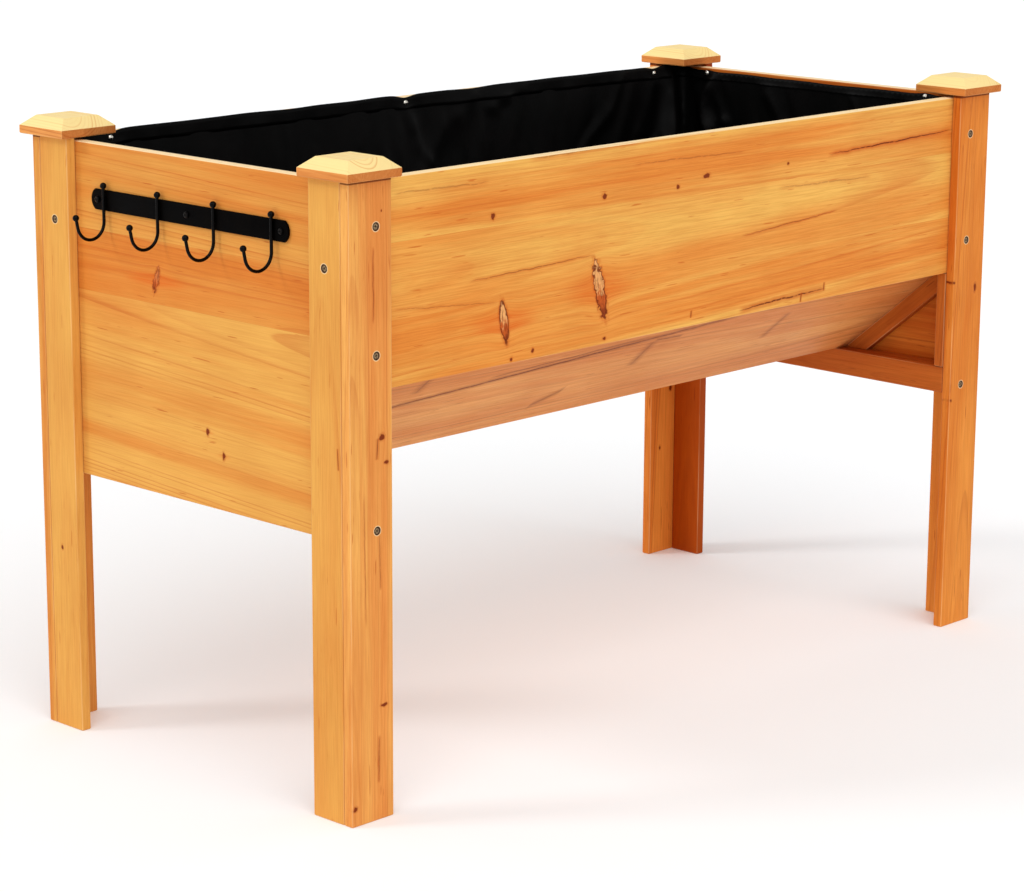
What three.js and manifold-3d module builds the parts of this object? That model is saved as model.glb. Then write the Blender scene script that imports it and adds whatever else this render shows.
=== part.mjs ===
// A raised garden planter: four L-section legs with capped tops, a plank box with a V-shaped
// trough inside it, a fabric liner, and a rail of four tool hooks on the left end.
// Millimetres, +Z up. The front faces -Y and the hooks stand off the -X end. The feet are at Z = 0.
import * as THREE from "three";
import { mergeVertices } from "three/addons/utils/BufferGeometryUtils.js";
import Module from "manifold-3d";

const wasm = await Module();
wasm.setup();

// Frame, over the outer faces of the legs
const FRAME_LENGTH = 1198;
const FRAME_DEPTH = 561;
const LEG_HEIGHT = 747.7;
const LEG_WIDTH = 66;
const LEG_THICK = 14;

// Box panels, which sit inside the leg boards
const PANEL_THICK = 15.5;
const PANEL_TOP = 744;
const SIDE_PANEL_BOTTOM = 503;
const END_PANEL_BOTTOM = 331;

// Trough: slanted boards from the side panels down to a narrow floor
const SLOPE = THREE.MathUtils.degToRad(39.4);
const TROUGH_THICK = 14;
const TROUGH_FOOT = 80;
const FLOOR_THICK = 14;
const DRAIN_SLOT = 6;
const BATTEN_SIZE = 36;
const BATTEN_TOP = 371;
const CLEAT_WIDTH = 23;
const CLEAT_THICK = 14;

// Post caps
const CAP_BOTTOM = 748;
const CAP_SIDE = 82.8;
const CAP_OVERHANG = 10.8;
const CAP_EDGE = 10;
const CAP_RISE = 12.5;
const CAP_SLOPE_WIDTH = 14.8;
const CAP_EASE = 1.2;

// Liner
const LINER_THICK = 3;
const LINER_CLEAR = 0.5;
const LINER_TOP = 742;

// Hook rail and hooks
const RAIL_CENTRE_Y = 6;
const RAIL_HEIGHT = 678;
const RAIL_LENGTH = 352;
const RAIL_WIDTH = 25;
const RAIL_THICK = 3;
const RAIL_END_BULGE = 7;
const HOOK_PITCH = 100;
const HOOK_COUNT = 4;
const HOOK_WIRE = 2;
const HOOK_BALL = 4;
const HOOK_TOP = 696;
const HOOK_BEND = 20;
const HOOK_BEND_HEIGHT = 653;
const HOOK_SWEEP = THREE.MathUtils.degToRad(168);
const HOOK_TIP = 13;

// Countersunk wood screws in the legs, pan-head screws in the rail
const SCREW_HEAD = 4.5;
const SCREW_SHANK = 2;
const SCREW_LENGTH = 27;
const SCREW_SINK = 0.6;
const SCREW_RIM = 0.6;
const SCREW_CONE = 2.6;
const SCREW_TIP = 3;
const FACE_SCREW_INSET = 41.5;
const FACE_SCREW_HEIGHTS = { bottom: 346, middle: 548, top: 694 };
const SIDE_SCREW_INSET = 40;
const SIDE_SCREW_HEIGHT = 647;
const RAIL_SCREW_HEAD = 4;
const RAIL_SCREW_DOME = 2.6;
const RAIL_SCREW_LENGTH = 14;
const RAIL_SCREW_INSET = 12;

// Shared
const JOINT_GAP = 0.3;
const EDGE_CUT = 2;
const END_EASE = 1;
const CURVE_STEPS = 2;
const ROUND_SIDES = 10;
const WIRE_SIDES = 8;
const WIRE_STEPS = 20;
const BEND_STEPS = 8;
const RAIL_END_STEPS = 6;

const X = new THREE.Vector3(1, 0, 0);
const Y = new THREE.Vector3(0, 1, 0);
const Z = new THREE.Vector3(0, 0, 1);

const halfLength = FRAME_LENGTH / 2;
const halfDepth = FRAME_DEPTH / 2;
const sideOuter = halfDepth - LEG_THICK;
const sideInner = sideOuter - PANEL_THICK;
const endOuter = halfLength - LEG_THICK;
const endInner = endOuter - PANEL_THICK;
const floorBottom = BATTEN_TOP + JOINT_GAP;
const floorTop = floorBottom + FLOOR_THICK;

// The hooks reach further than the caps on one side, so the frame is shifted to centre the whole.
const wireX = -endOuter - JOINT_GAP - RAIL_THICK - JOINT_GAP - HOOK_WIRE;
const hookSpread = HOOK_BEND * (1 - Math.cos(HOOK_SWEEP)) + HOOK_TIP * Math.sin(HOOK_SWEEP);
const hookReach = hookSpread + HOOK_BALL - wireX;
const capReach = halfLength + CAP_OVERHANG;

function woodMaterial(color) {
  return new THREE.MeshStandardMaterial({ color, roughness: 0.55, metalness: 0 });
}

const legWood = woodMaterial(0xe0a058);
const panelWood = woodMaterial(0xdd9248);
const capWood = woodMaterial(0xe5bf80);
const innerWood = woodMaterial(0xc78148);
const linerFabric = new THREE.MeshStandardMaterial({ color: 0x121213, roughness: 0.75, metalness: 0 });
const blackSteel = new THREE.MeshStandardMaterial({ color: 0x141414, roughness: 0.35, metalness: 0.6 });
const zincSteel = new THREE.MeshStandardMaterial({ color: 0x9a968e, roughness: 0.4, metalness: 0.9 });

const planter = new THREE.Group();

// ---- geometry helpers ----

function addMesh(name, geometry, material) {
  const mesh = new THREE.Mesh(geometry, material);
  mesh.name = name;
  planter.add(mesh);
  return mesh;
}

function toSolid(geometry) {
  const bare = geometry.clone();
  bare.deleteAttribute("normal");
  bare.deleteAttribute("uv");
  const merged = mergeVertices(bare, 1e-3);
  const vertProperties = merged.attributes.position.array;
  const triVerts = new Uint32Array(merged.index.array);
  return new wasm.Manifold(new wasm.Mesh({ numProp: 3, vertProperties, triVerts }));
}

function toGeometry(solid) {
  const { vertProperties, triVerts } = solid.getMesh();
  const geometry = new THREE.BufferGeometry();
  geometry.setAttribute("position", new THREE.BufferAttribute(vertProperties, 3));
  geometry.setIndex(new THREE.BufferAttribute(triVerts, 1));
  geometry.computeVertexNormals();
  return geometry;
}

function cut(geometry, tools) {
  return toGeometry(tools.reduce((solid, tool) => solid.subtract(toSolid(tool)), toSolid(geometry)));
}

function join(geometries) {
  return toGeometry(geometries.map(toSolid).reduce((whole, solid) => whole.add(solid)));
}

// A closed outline through the points, with each corner rounded off over the given distance.
function roundedOutline(points, cutBack) {
  const shape = new THREE.Shape();
  points.forEach((corner, i) => {
    const before = points[(i + points.length - 1) % points.length];
    const after = points[(i + 1) % points.length];
    const enter = corner.clone().add(before.clone().sub(corner).setLength(cutBack));
    const leave = corner.clone().add(after.clone().sub(corner).setLength(cutBack));
    if (i === 0) {
      shape.moveTo(enter.x, enter.y);
    } else {
      shape.lineTo(enter.x, enter.y);
    }
    shape.quadraticCurveTo(corner.x, corner.y, leave.x, leave.y);
  });
  shape.closePath();
  return shape;
}

// An outline extruded by length about the origin, with its ends eased.
function easedExtrusion(shape, length, ease) {
  const geometry = new THREE.ExtrudeGeometry(shape, {
    depth: length - 2 * ease,
    curveSegments: CURVE_STEPS,
    bevelEnabled: ease > 0,
    bevelThickness: ease,
    bevelSize: ease,
    bevelOffset: -ease,
    bevelSegments: 1,
  });
  return geometry.translate(0, 0, ease - length / 2);
}

// A board that fills the box from low to high, with rounded edges. Its grain runs along "x", "y" or "z".
function board(low, high, grain) {
  const size = new THREE.Vector3().subVectors(high, low);
  const basis = { x: [Y, Z, X], y: [Z, X, Y], z: [X, Y, Z] }[grain];
  const [width, thick, length] = basis.map((axis) => size.dot(axis));
  const corners = [[-1, -1], [1, -1], [1, 1], [-1, 1]].map(
    ([u, v]) => new THREE.Vector2((u * width) / 2, (v * thick) / 2),
  );
  const geometry = easedExtrusion(roundedOutline(corners, EDGE_CUT), length, END_EASE);
  geometry.applyMatrix4(new THREE.Matrix4().makeBasis(...basis));
  const centre = new THREE.Vector3().addVectors(low, high).multiplyScalar(0.5);
  return geometry.translate(centre.x, centre.y, centre.z);
}

// The same, given as [from, to] on each axis in either order.
function boardBetween(x, y, z, grain) {
  const low = new THREE.Vector3(Math.min(...x), Math.min(...y), Math.min(...z));
  const high = new THREE.Vector3(Math.max(...x), Math.max(...y), Math.max(...z));
  return board(low, high, grain);
}

// A prism along X whose section is given by [y, z] points, between x = from and x = to.
function prismAlongX(section, from, to) {
  const shape = new THREE.Shape(section.map(([y, z]) => new THREE.Vector2(y, z)));
  const geometry = new THREE.ExtrudeGeometry(shape, { depth: Math.abs(to - from), bevelEnabled: false });
  geometry.applyMatrix4(new THREE.Matrix4().makeBasis(Y, Z, X));
  return geometry.translate(Math.min(from, to), 0, 0);
}

// A profile of [radius, height] points turned about the Y axis.
function lathe(profile, sides, startAngle = 0) {
  const points = profile.map(([radius, height]) => new THREE.Vector2(radius, height));
  return new THREE.LatheGeometry(points, sides, startAngle);
}

// The same, stood on a point with its axis along a direction.
function turned(profile, point, direction) {
  const geometry = lathe(profile, ROUND_SIDES);
  geometry.applyQuaternion(new THREE.Quaternion().setFromUnitVectors(Y, direction));
  return geometry.translate(point.x, point.y, point.z);
}

// ---- the slanted faces of the trough ----

// Height at distance y from the middle, on a plane raised by "raise" square to the slanted underside.
function slopeHeight(y, raise) {
  return BATTEN_TOP + (y - TROUGH_FOOT) * Math.tan(SLOPE) + raise / Math.cos(SLOPE);
}

function slopeDistance(z, raise) {
  return TROUGH_FOOT + (z - BATTEN_TOP - raise / Math.cos(SLOPE)) / Math.tan(SLOPE);
}

// The section between two such planes, from the batten up to the side panel. "side" is -1 or 1 in Y.
function slopeSection(side, lowRaise, highRaise) {
  const wall = sideInner - JOINT_GAP;
  return [
    [side * slopeDistance(floorBottom, lowRaise), floorBottom],
    [side * wall, slopeHeight(wall, lowRaise)],
    [side * wall, slopeHeight(wall, highRaise)],
    [side * slopeDistance(floorBottom, highRaise), floorBottom],
  ];
}

// ---- screws and their holes ----

const countersunkScrew = [
  [0, -SCREW_SINK - SCREW_LENGTH],
  [SCREW_SHANK, -SCREW_SINK - SCREW_LENGTH + SCREW_TIP],
  [SCREW_SHANK, -SCREW_SINK - SCREW_RIM - SCREW_CONE],
  [SCREW_HEAD, -SCREW_SINK - SCREW_RIM],
  [SCREW_HEAD, -SCREW_SINK],
  [0, -SCREW_SINK],
];

const countersunkHole = [
  [0, -SCREW_SINK - SCREW_LENGTH - JOINT_GAP],
  [SCREW_SHANK + JOINT_GAP, -SCREW_SINK - SCREW_LENGTH - JOINT_GAP],
  [SCREW_SHANK + JOINT_GAP, -SCREW_SINK - SCREW_RIM - SCREW_CONE - JOINT_GAP],
  [SCREW_HEAD + JOINT_GAP, -SCREW_SINK - SCREW_RIM - JOINT_GAP],
  [SCREW_HEAD + JOINT_GAP, SCREW_SINK],
  [0, SCREW_SINK],
];

const railScrew = [
  [0, -RAIL_SCREW_LENGTH],
  [SCREW_SHANK, -RAIL_SCREW_LENGTH + SCREW_TIP],
  [SCREW_SHANK, JOINT_GAP],
  [RAIL_SCREW_HEAD, JOINT_GAP],
  [RAIL_SCREW_HEAD, JOINT_GAP + RAIL_SCREW_DOME / 3],
  [RAIL_SCREW_HEAD * 0.7, JOINT_GAP + RAIL_SCREW_DOME * 0.85],
  [0, JOINT_GAP + RAIL_SCREW_DOME],
];

const railHole = [
  [0, -RAIL_SCREW_LENGTH - JOINT_GAP],
  [SCREW_SHANK + JOINT_GAP, -RAIL_SCREW_LENGTH - JOINT_GAP],
  [SCREW_SHANK + JOINT_GAP, RAIL_THICK],
  [0, RAIL_THICK],
];

const corners = [
  { name: "front_left", sx: -1, sy: -1 },
  { name: "front_right", sx: 1, sy: -1 },
  { name: "rear_left", sx: -1, sy: 1 },
  { name: "rear_right", sx: 1, sy: 1 },
];

function faceScrewPoints({ sx, sy }) {
  return Object.entries(FACE_SCREW_HEIGHTS).map(([level, height]) => ({
    level,
    point: new THREE.Vector3(sx * (halfLength - FACE_SCREW_INSET), sy * halfDepth, height),
    outward: Y.clone().multiplyScalar(sy),
  }));
}

function sideScrewPoint({ sx, sy }) {
  return {
    point: new THREE.Vector3(sx * halfLength, sy * (halfDepth - SIDE_SCREW_INSET), SIDE_SCREW_HEIGHT),
    outward: X.clone().multiplyScalar(sx),
  };
}

function drill({ point, outward }) {
  return turned(countersunkHole, point, outward);
}

// ---- sub-parts ----

// A face board across the front or rear, and a side board behind its edge, make each L-section leg.
function addLeg(corner) {
  const { name, sx, sy } = corner;
  const legTop = [0, LEG_HEIGHT];
  const face = boardBetween(
    [sx * halfLength, sx * (halfLength - LEG_WIDTH)],
    [sy * halfDepth, sy * sideOuter],
    legTop,
    "z",
  );
  const side = boardBetween(
    [sx * halfLength, sx * endOuter],
    [sy * (sideOuter - JOINT_GAP), sy * (halfDepth - LEG_WIDTH)],
    legTop,
    "z",
  );
  const faceScrews = faceScrewPoints(corner);
  const sideScrew = sideScrewPoint(corner);
  addMesh(`${name}_leg_face_board`, cut(face, faceScrews.map(drill)), legWood);
  addMesh(`${name}_leg_side_board`, cut(side, [drill(sideScrew)]), legWood);
  faceScrews.forEach(({ level, point, outward }) =>
    addMesh(`${name}_face_screw_${level}`, turned(countersunkScrew, point, outward), zincSteel),
  );
  addMesh(`${name}_side_screw`, turned(countersunkScrew, sideScrew.point, sideScrew.outward), zincSteel);
}

// A square plate with a vertical edge, four slopes and a flat top: a turned profile with four sides.
function addCap({ name, sx, sy }) {
  const toCorner = Math.SQRT1_2 * CAP_SIDE;
  const profile = [
    [0, 0],
    [toCorner - CAP_EASE, 0],
    [toCorner, CAP_EASE],
    [toCorner, CAP_EDGE],
    [toCorner - Math.SQRT2 * CAP_SLOPE_WIDTH, CAP_EDGE + CAP_RISE],
    [0, CAP_EDGE + CAP_RISE],
  ];
  const geometry = lathe(profile, 4, Math.PI / 4);
  geometry.rotateX(Math.PI / 2);
  const inset = CAP_SIDE / 2 - CAP_OVERHANG;
  geometry.translate(sx * (halfLength - inset), sy * (halfDepth - inset), CAP_BOTTOM);
  addMesh(`${name}_post_cap`, geometry, capWood);
}

function addSidePanel(name, sy) {
  const panel = boardBetween(
    [-endOuter + JOINT_GAP, endOuter - JOINT_GAP],
    [sy * (sideOuter - JOINT_GAP), sy * sideInner],
    [SIDE_PANEL_BOTTOM, PANEL_TOP],
    "x",
  );
  const holes = corners.filter((corner) => corner.sy === sy).flatMap(faceScrewPoints).map(drill);
  addMesh(name, cut(panel, holes), panelWood);
}

function addEndPanel(name, sx, extraHoles) {
  const reach = sideInner - JOINT_GAP;
  const panel = boardBetween(
    [sx * (endOuter - JOINT_GAP), sx * endInner],
    [-reach, reach],
    [END_PANEL_BOTTOM, PANEL_TOP],
    "y",
  );
  const holes = corners.filter((corner) => corner.sx === sx).map(sideScrewPoint).map(drill);
  addMesh(name, cut(panel, [...holes, ...extraHoles]), panelWood);
}

// The block that packs out each leg below the side panel, down to the floor batten.
function addLegFiller(corner) {
  const { name, sx, sy } = corner;
  const filler = boardBetween(
    [sx * (halfLength - LEG_WIDTH), sx * (endOuter - JOINT_GAP)],
    [sy * (sideOuter - JOINT_GAP), sy * sideInner],
    [BATTEN_TOP + JOINT_GAP, SIDE_PANEL_BOTTOM - JOINT_GAP],
    "z",
  );
  addMesh(`${name}_leg_filler`, cut(filler, faceScrewPoints(corner).map(drill)), innerWood);
}

function addFloorBatten(name, sx) {
  const reach = sideOuter - JOINT_GAP;
  const batten = boardBetween(
    [sx * (endInner - JOINT_GAP), sx * (endInner - BATTEN_SIZE)],
    [-reach, reach],
    [BATTEN_TOP - BATTEN_SIZE, BATTEN_TOP],
    "y",
  );
  const holes = corners.filter((corner) => corner.sx === sx).flatMap(faceScrewPoints).map(drill);
  addMesh(name, cut(batten, holes), innerWood);
}

function addSlopeCleat({ name, sx, sy }) {
  const section = slopeSection(sy, -JOINT_GAP - CLEAT_WIDTH, -JOINT_GAP);
  const root = sx * (endInner - JOINT_GAP);
  addMesh(`${name}_slope_cleat`, prismAlongX(section, root, root - sx * CLEAT_THICK), innerWood);
}

function addTroughBoard(name, sy) {
  const reach = endInner - JOINT_GAP;
  addMesh(name, prismAlongX(slopeSection(sy, 0, TROUGH_THICK), -reach, reach), panelWood);
}

function addFloorBoard(name, sy) {
  const reach = endInner - JOINT_GAP;
  const outer = slopeDistance(floorBottom, TROUGH_THICK) - JOINT_GAP;
  const geometry = boardBetween(
    [-reach, reach],
    [(sy * DRAIN_SLOT) / 2, sy * outer],
    [floorBottom, floorTop],
    "x",
  );
  addMesh(name, geometry, innerWood);
}

// A trough of cloth, open at the top, that follows the panels, the slanted boards and the floor.
function linerSection(inset, top) {
  const wall = sideInner - LINER_CLEAR - inset;
  const raise = TROUGH_THICK + LINER_CLEAR + inset;
  const bottom = floorTop + LINER_CLEAR + inset;
  const half = [
    [wall, top],
    [wall, slopeHeight(wall, raise)],
    [slopeDistance(bottom, raise), bottom],
  ];
  const mirrored = half.map(([y, z]) => [-y, z]).reverse();
  return [...half, ...mirrored];
}

function addLiner() {
  const reach = endInner - LINER_CLEAR;
  const outside = prismAlongX(linerSection(0, LINER_TOP), -reach, reach);
  const hollowReach = reach - LINER_THICK;
  const hollow = prismAlongX(linerSection(LINER_THICK, LINER_TOP + LINER_THICK), -hollowReach, hollowReach);
  addMesh("planting_liner", cut(outside, [hollow]), linerFabric);
}

// ---- hook rail ----

const railBack = -endOuter - JOINT_GAP;
const railFront = railBack - RAIL_THICK;

function railScrewPoints() {
  const reach = RAIL_LENGTH / 2 - RAIL_SCREW_INSET;
  return [reach, 0, -reach].map((along) => new THREE.Vector3(railFront, RAIL_CENTRE_Y + along, RAIL_HEIGHT));
}

const outOfRail = X.clone().negate();
const railHoles = railScrewPoints().map((point) => turned(railHole, point, outOfRail));

// A flat bar with bowed ends.
function addRail() {
  const straight = RAIL_LENGTH / 2 - RAIL_END_BULGE;
  const halfWidth = RAIL_WIDTH / 2;
  const radius = (halfWidth ** 2 + RAIL_END_BULGE ** 2) / (2 * RAIL_END_BULGE);
  const spread = Math.asin(halfWidth / radius);
  const centre = RAIL_LENGTH / 2 - radius;
  const shape = new THREE.Shape();
  shape.moveTo(-straight, -halfWidth);
  shape.lineTo(straight, -halfWidth);
  shape.absarc(centre, 0, radius, -spread, spread);
  shape.lineTo(-straight, halfWidth);
  shape.absarc(-centre, 0, radius, Math.PI - spread, Math.PI + spread);
  const bar = new THREE.ExtrudeGeometry(shape, {
    depth: RAIL_THICK,
    curveSegments: RAIL_END_STEPS,
    bevelEnabled: false,
  });
  bar.applyMatrix4(new THREE.Matrix4().makeBasis(Y, Z, X));
  bar.translate(railFront, RAIL_CENTRE_Y, RAIL_HEIGHT);
  addMesh("hook_rail", cut(bar, railHoles), blackSteel);
  railScrewPoints().forEach((point, i) =>
    addMesh(`hook_rail_screw_${i + 1}`, turned(railScrew, point, outOfRail), blackSteel),
  );
}

// A J-shaped round wire with a ball at each end: down the rail's face, then out and up.
function addHook(name, y) {
  const points = [
    new THREE.Vector3(wireX, y, HOOK_TOP),
    new THREE.Vector3(wireX, y, (HOOK_TOP + HOOK_BEND_HEIGHT) / 2),
  ];
  for (let i = 0; i <= BEND_STEPS; i++) {
    const angle = (HOOK_SWEEP * i) / BEND_STEPS;
    const out = HOOK_BEND * (1 - Math.cos(angle));
    points.push(new THREE.Vector3(wireX - out, y, HOOK_BEND_HEIGHT - HOOK_BEND * Math.sin(angle)));
  }
  const rise = new THREE.Vector3(-Math.sin(HOOK_SWEEP), 0, -Math.cos(HOOK_SWEEP));
  const tip = points.at(-1).clone().addScaledVector(rise, HOOK_TIP);
  points.push(tip);
  const wire = new THREE.Shape().absarc(0, 0, HOOK_WIRE, 0, 2 * Math.PI);
  const path = new THREE.CatmullRomCurve3(points);
  const rod = new THREE.ExtrudeGeometry(wire, {
    extrudePath: path,
    steps: WIRE_STEPS,
    curveSegments: WIRE_SIDES,
  });
  const ball = new THREE.SphereGeometry(HOOK_BALL, ROUND_SIDES, ROUND_SIDES - 2);
  const balls = [points[0], tip].map(({ x, z }) => ball.clone().translate(x, y, z));
  addMesh(name, join([rod, ...balls]), blackSteel);
}

corners.forEach((corner) => {
  addLeg(corner);
  addCap(corner);
  addLegFiller(corner);
  addSlopeCleat(corner);
});
addSidePanel("front_panel", -1);
addSidePanel("rear_panel", 1);
addEndPanel("left_end_panel", -1, railHoles);
addEndPanel("right_end_panel", 1, []);
addFloorBatten("left_floor_batten", -1);
addFloorBatten("right_floor_batten", 1);
addTroughBoard("front_trough_board", -1);
addTroughBoard("rear_trough_board", 1);
addFloorBoard("front_floor_board", -1);
addFloorBoard("rear_floor_board", 1);
addLiner();
addRail();
for (let i = 0; i < HOOK_COUNT; i++) {
  addHook(`tool_hook_${i + 1}`, RAIL_CENTRE_Y + HOOK_PITCH * ((HOOK_COUNT - 1) / 2 - i));
}

planter.position.x = (hookReach - capReach) / 2;

export default planter;
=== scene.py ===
"""The looks of a raised planter on legs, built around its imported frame.

Metres, +Z up, the front towards -Y and the tool hooks on the -X end.
"""

import math
import random
from dataclasses import dataclass

import bmesh
import bpy
from mathutils import Matrix, Vector, geometry, noise


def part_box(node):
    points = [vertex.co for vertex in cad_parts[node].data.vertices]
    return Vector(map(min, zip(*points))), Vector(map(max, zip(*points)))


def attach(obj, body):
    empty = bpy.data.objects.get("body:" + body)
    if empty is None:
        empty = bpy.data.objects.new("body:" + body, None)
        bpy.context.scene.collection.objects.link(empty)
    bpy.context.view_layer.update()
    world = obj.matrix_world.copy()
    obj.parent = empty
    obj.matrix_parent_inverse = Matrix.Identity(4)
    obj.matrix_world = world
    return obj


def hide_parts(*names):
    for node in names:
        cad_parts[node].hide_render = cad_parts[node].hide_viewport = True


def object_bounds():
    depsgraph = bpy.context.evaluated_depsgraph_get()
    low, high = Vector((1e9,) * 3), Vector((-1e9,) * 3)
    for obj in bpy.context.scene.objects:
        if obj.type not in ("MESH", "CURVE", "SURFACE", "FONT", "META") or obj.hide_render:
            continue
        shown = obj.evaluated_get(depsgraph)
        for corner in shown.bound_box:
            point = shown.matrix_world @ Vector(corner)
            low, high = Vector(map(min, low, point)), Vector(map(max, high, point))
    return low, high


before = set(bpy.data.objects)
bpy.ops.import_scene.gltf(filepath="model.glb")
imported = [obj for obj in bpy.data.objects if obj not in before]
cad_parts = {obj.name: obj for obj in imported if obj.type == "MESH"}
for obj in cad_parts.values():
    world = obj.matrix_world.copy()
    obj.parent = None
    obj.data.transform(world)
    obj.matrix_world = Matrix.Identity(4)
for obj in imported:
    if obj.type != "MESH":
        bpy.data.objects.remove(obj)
cad_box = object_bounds()

MM = 0.001
X = Vector((1, 0, 0))
Y = Vector((0, 1, 0))
Z = Vector((0, 0, 1))
CORNERS = ("front_left", "front_right", "rear_left", "rear_right")
RANGE_SOCKETS = ("Value", "From Min", "From Max", "To Min", "To Max")


# ---- camera, light and floor ----

CAMERA_PLACE = Vector((-2.872, -2.729, 1.2476))
CAMERA_HEADING = math.radians(46.131)
CAMERA_DIP = math.radians(13.366)
CAMERA_ROLL = math.radians(0.30)
CAMERA_LENS = 108.5
CAMERA_REACH = 200
FLOOR_SIDE = 60.0
FLOOR_TINT = (0.905, 0.92, 0.93, 1)
FLOOR_GLOW = 0.10
SKY_LOW = 0.93
SKY_HIGH = 0.52
SKY_BAND = (0.18, 0.5)


def colour(red, green, blue):
    """A display colour of 0 to 255 per channel, as the linear colour a shader takes."""

    def linear(value):
        share = value / 255
        return share / 12.92 if share <= 0.04045 else ((share + 0.055) / 1.055) ** 2.4

    return (linear(red), linear(green), linear(blue), 1.0)


def new_object(name, data):
    made = bpy.data.objects.new(name, data)
    bpy.context.scene.collection.objects.link(made)
    return made


def make_camera():
    data = bpy.data.cameras.new("camera")
    data.lens = CAMERA_LENS
    data.clip_end = CAMERA_REACH
    camera = new_object("camera", data)
    turn = (
        Matrix.Rotation(-CAMERA_HEADING, 4, "Z")
        @ Matrix.Rotation(math.pi / 2 - CAMERA_DIP, 4, "X")
        @ Matrix.Rotation(CAMERA_ROLL, 4, "Z")
    )
    camera.matrix_world = Matrix.Translation(CAMERA_PLACE) @ turn
    bpy.context.scene.camera = camera
    bpy.context.scene.view_settings.view_transform = "Standard"


def make_sun(name, towards, strength, softness):
    """A far soft box in one direction, as wide as softness in degrees."""
    data = bpy.data.lights.new(name, "SUN")
    data.energy = strength
    data.angle = math.radians(softness)
    new_object(name, data).rotation_euler = Vector(towards).to_track_quat("Z", "Y").to_euler()


def make_sky():
    """A white horizon that meets the pale floor, and a softer light overhead."""
    world = bpy.data.worlds.new("studio")
    world.use_nodes = True
    tree = world.node_tree
    split = tree.nodes.new("ShaderNodeSeparateXYZ")
    tree.links.new(tree.nodes.new("ShaderNodeTexCoord").outputs["Generated"], split.inputs[0])
    fade = tree.nodes.new("ShaderNodeMapRange")
    fade.interpolation_type = "SMOOTHSTEP"
    tree.links.new(split.outputs["Z"], fade.inputs["Value"])
    for name, number in zip(RANGE_SOCKETS[1:], (*SKY_BAND, SKY_LOW, SKY_HIGH)):
        fade.inputs[name].default_value = number
    background = tree.nodes["Background"]
    background.inputs["Color"].default_value = (1, 1, 1, 1)
    tree.links.new(fade.outputs[0], background.inputs["Strength"])
    bpy.context.scene.world = world


def make_lights():
    make_sky()
    make_sun("key_sun", (-0.50, -0.75, 1.15), 1.40, 60)
    make_sun("side_sun", (-1.0, 0.75, 0.85), 0.70, 15)


def make_floor():
    """A white floor, a little bright of its own, that lets a view from below through."""
    half = FLOOR_SIDE / 2
    mesh = bpy.data.meshes.new("floor")
    corners = [(-half, -half, 0), (half, -half, 0), (half, half, 0), (-half, half, 0)]
    mesh.from_pydata(corners, [], [(0, 1, 2, 3)])
    floor = new_object("floor", mesh)
    graph = Graph("floor_paper")
    graph.principled(colour=FLOOR_TINT, roughness=0.9, specular=0.1, glow=FLOOR_GLOW)
    graph.clear_from_behind()
    mesh.materials.append(graph.material)


# ---- shader graphs ----


class Value:
    """A number that a shader works out at each point. It takes + - * / ** and abs."""

    def __init__(self, graph, socket):
        self.graph = graph
        self.socket = socket

    def __add__(self, other):
        return self.graph.maths("ADD", self, other)

    def __sub__(self, other):
        return self.graph.maths("SUBTRACT", self, other)

    def __rsub__(self, other):
        return self.graph.maths("SUBTRACT", other, self)

    def __mul__(self, other):
        return self.graph.maths("MULTIPLY", self, other)

    def __truediv__(self, other):
        return self.graph.maths("DIVIDE", self, other)

    def __pow__(self, other):
        return self.graph.maths("POWER", self, other)

    def __abs__(self):
        return self.graph.maths("ABSOLUTE", self)

    __radd__ = __add__
    __rmul__ = __mul__


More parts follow.
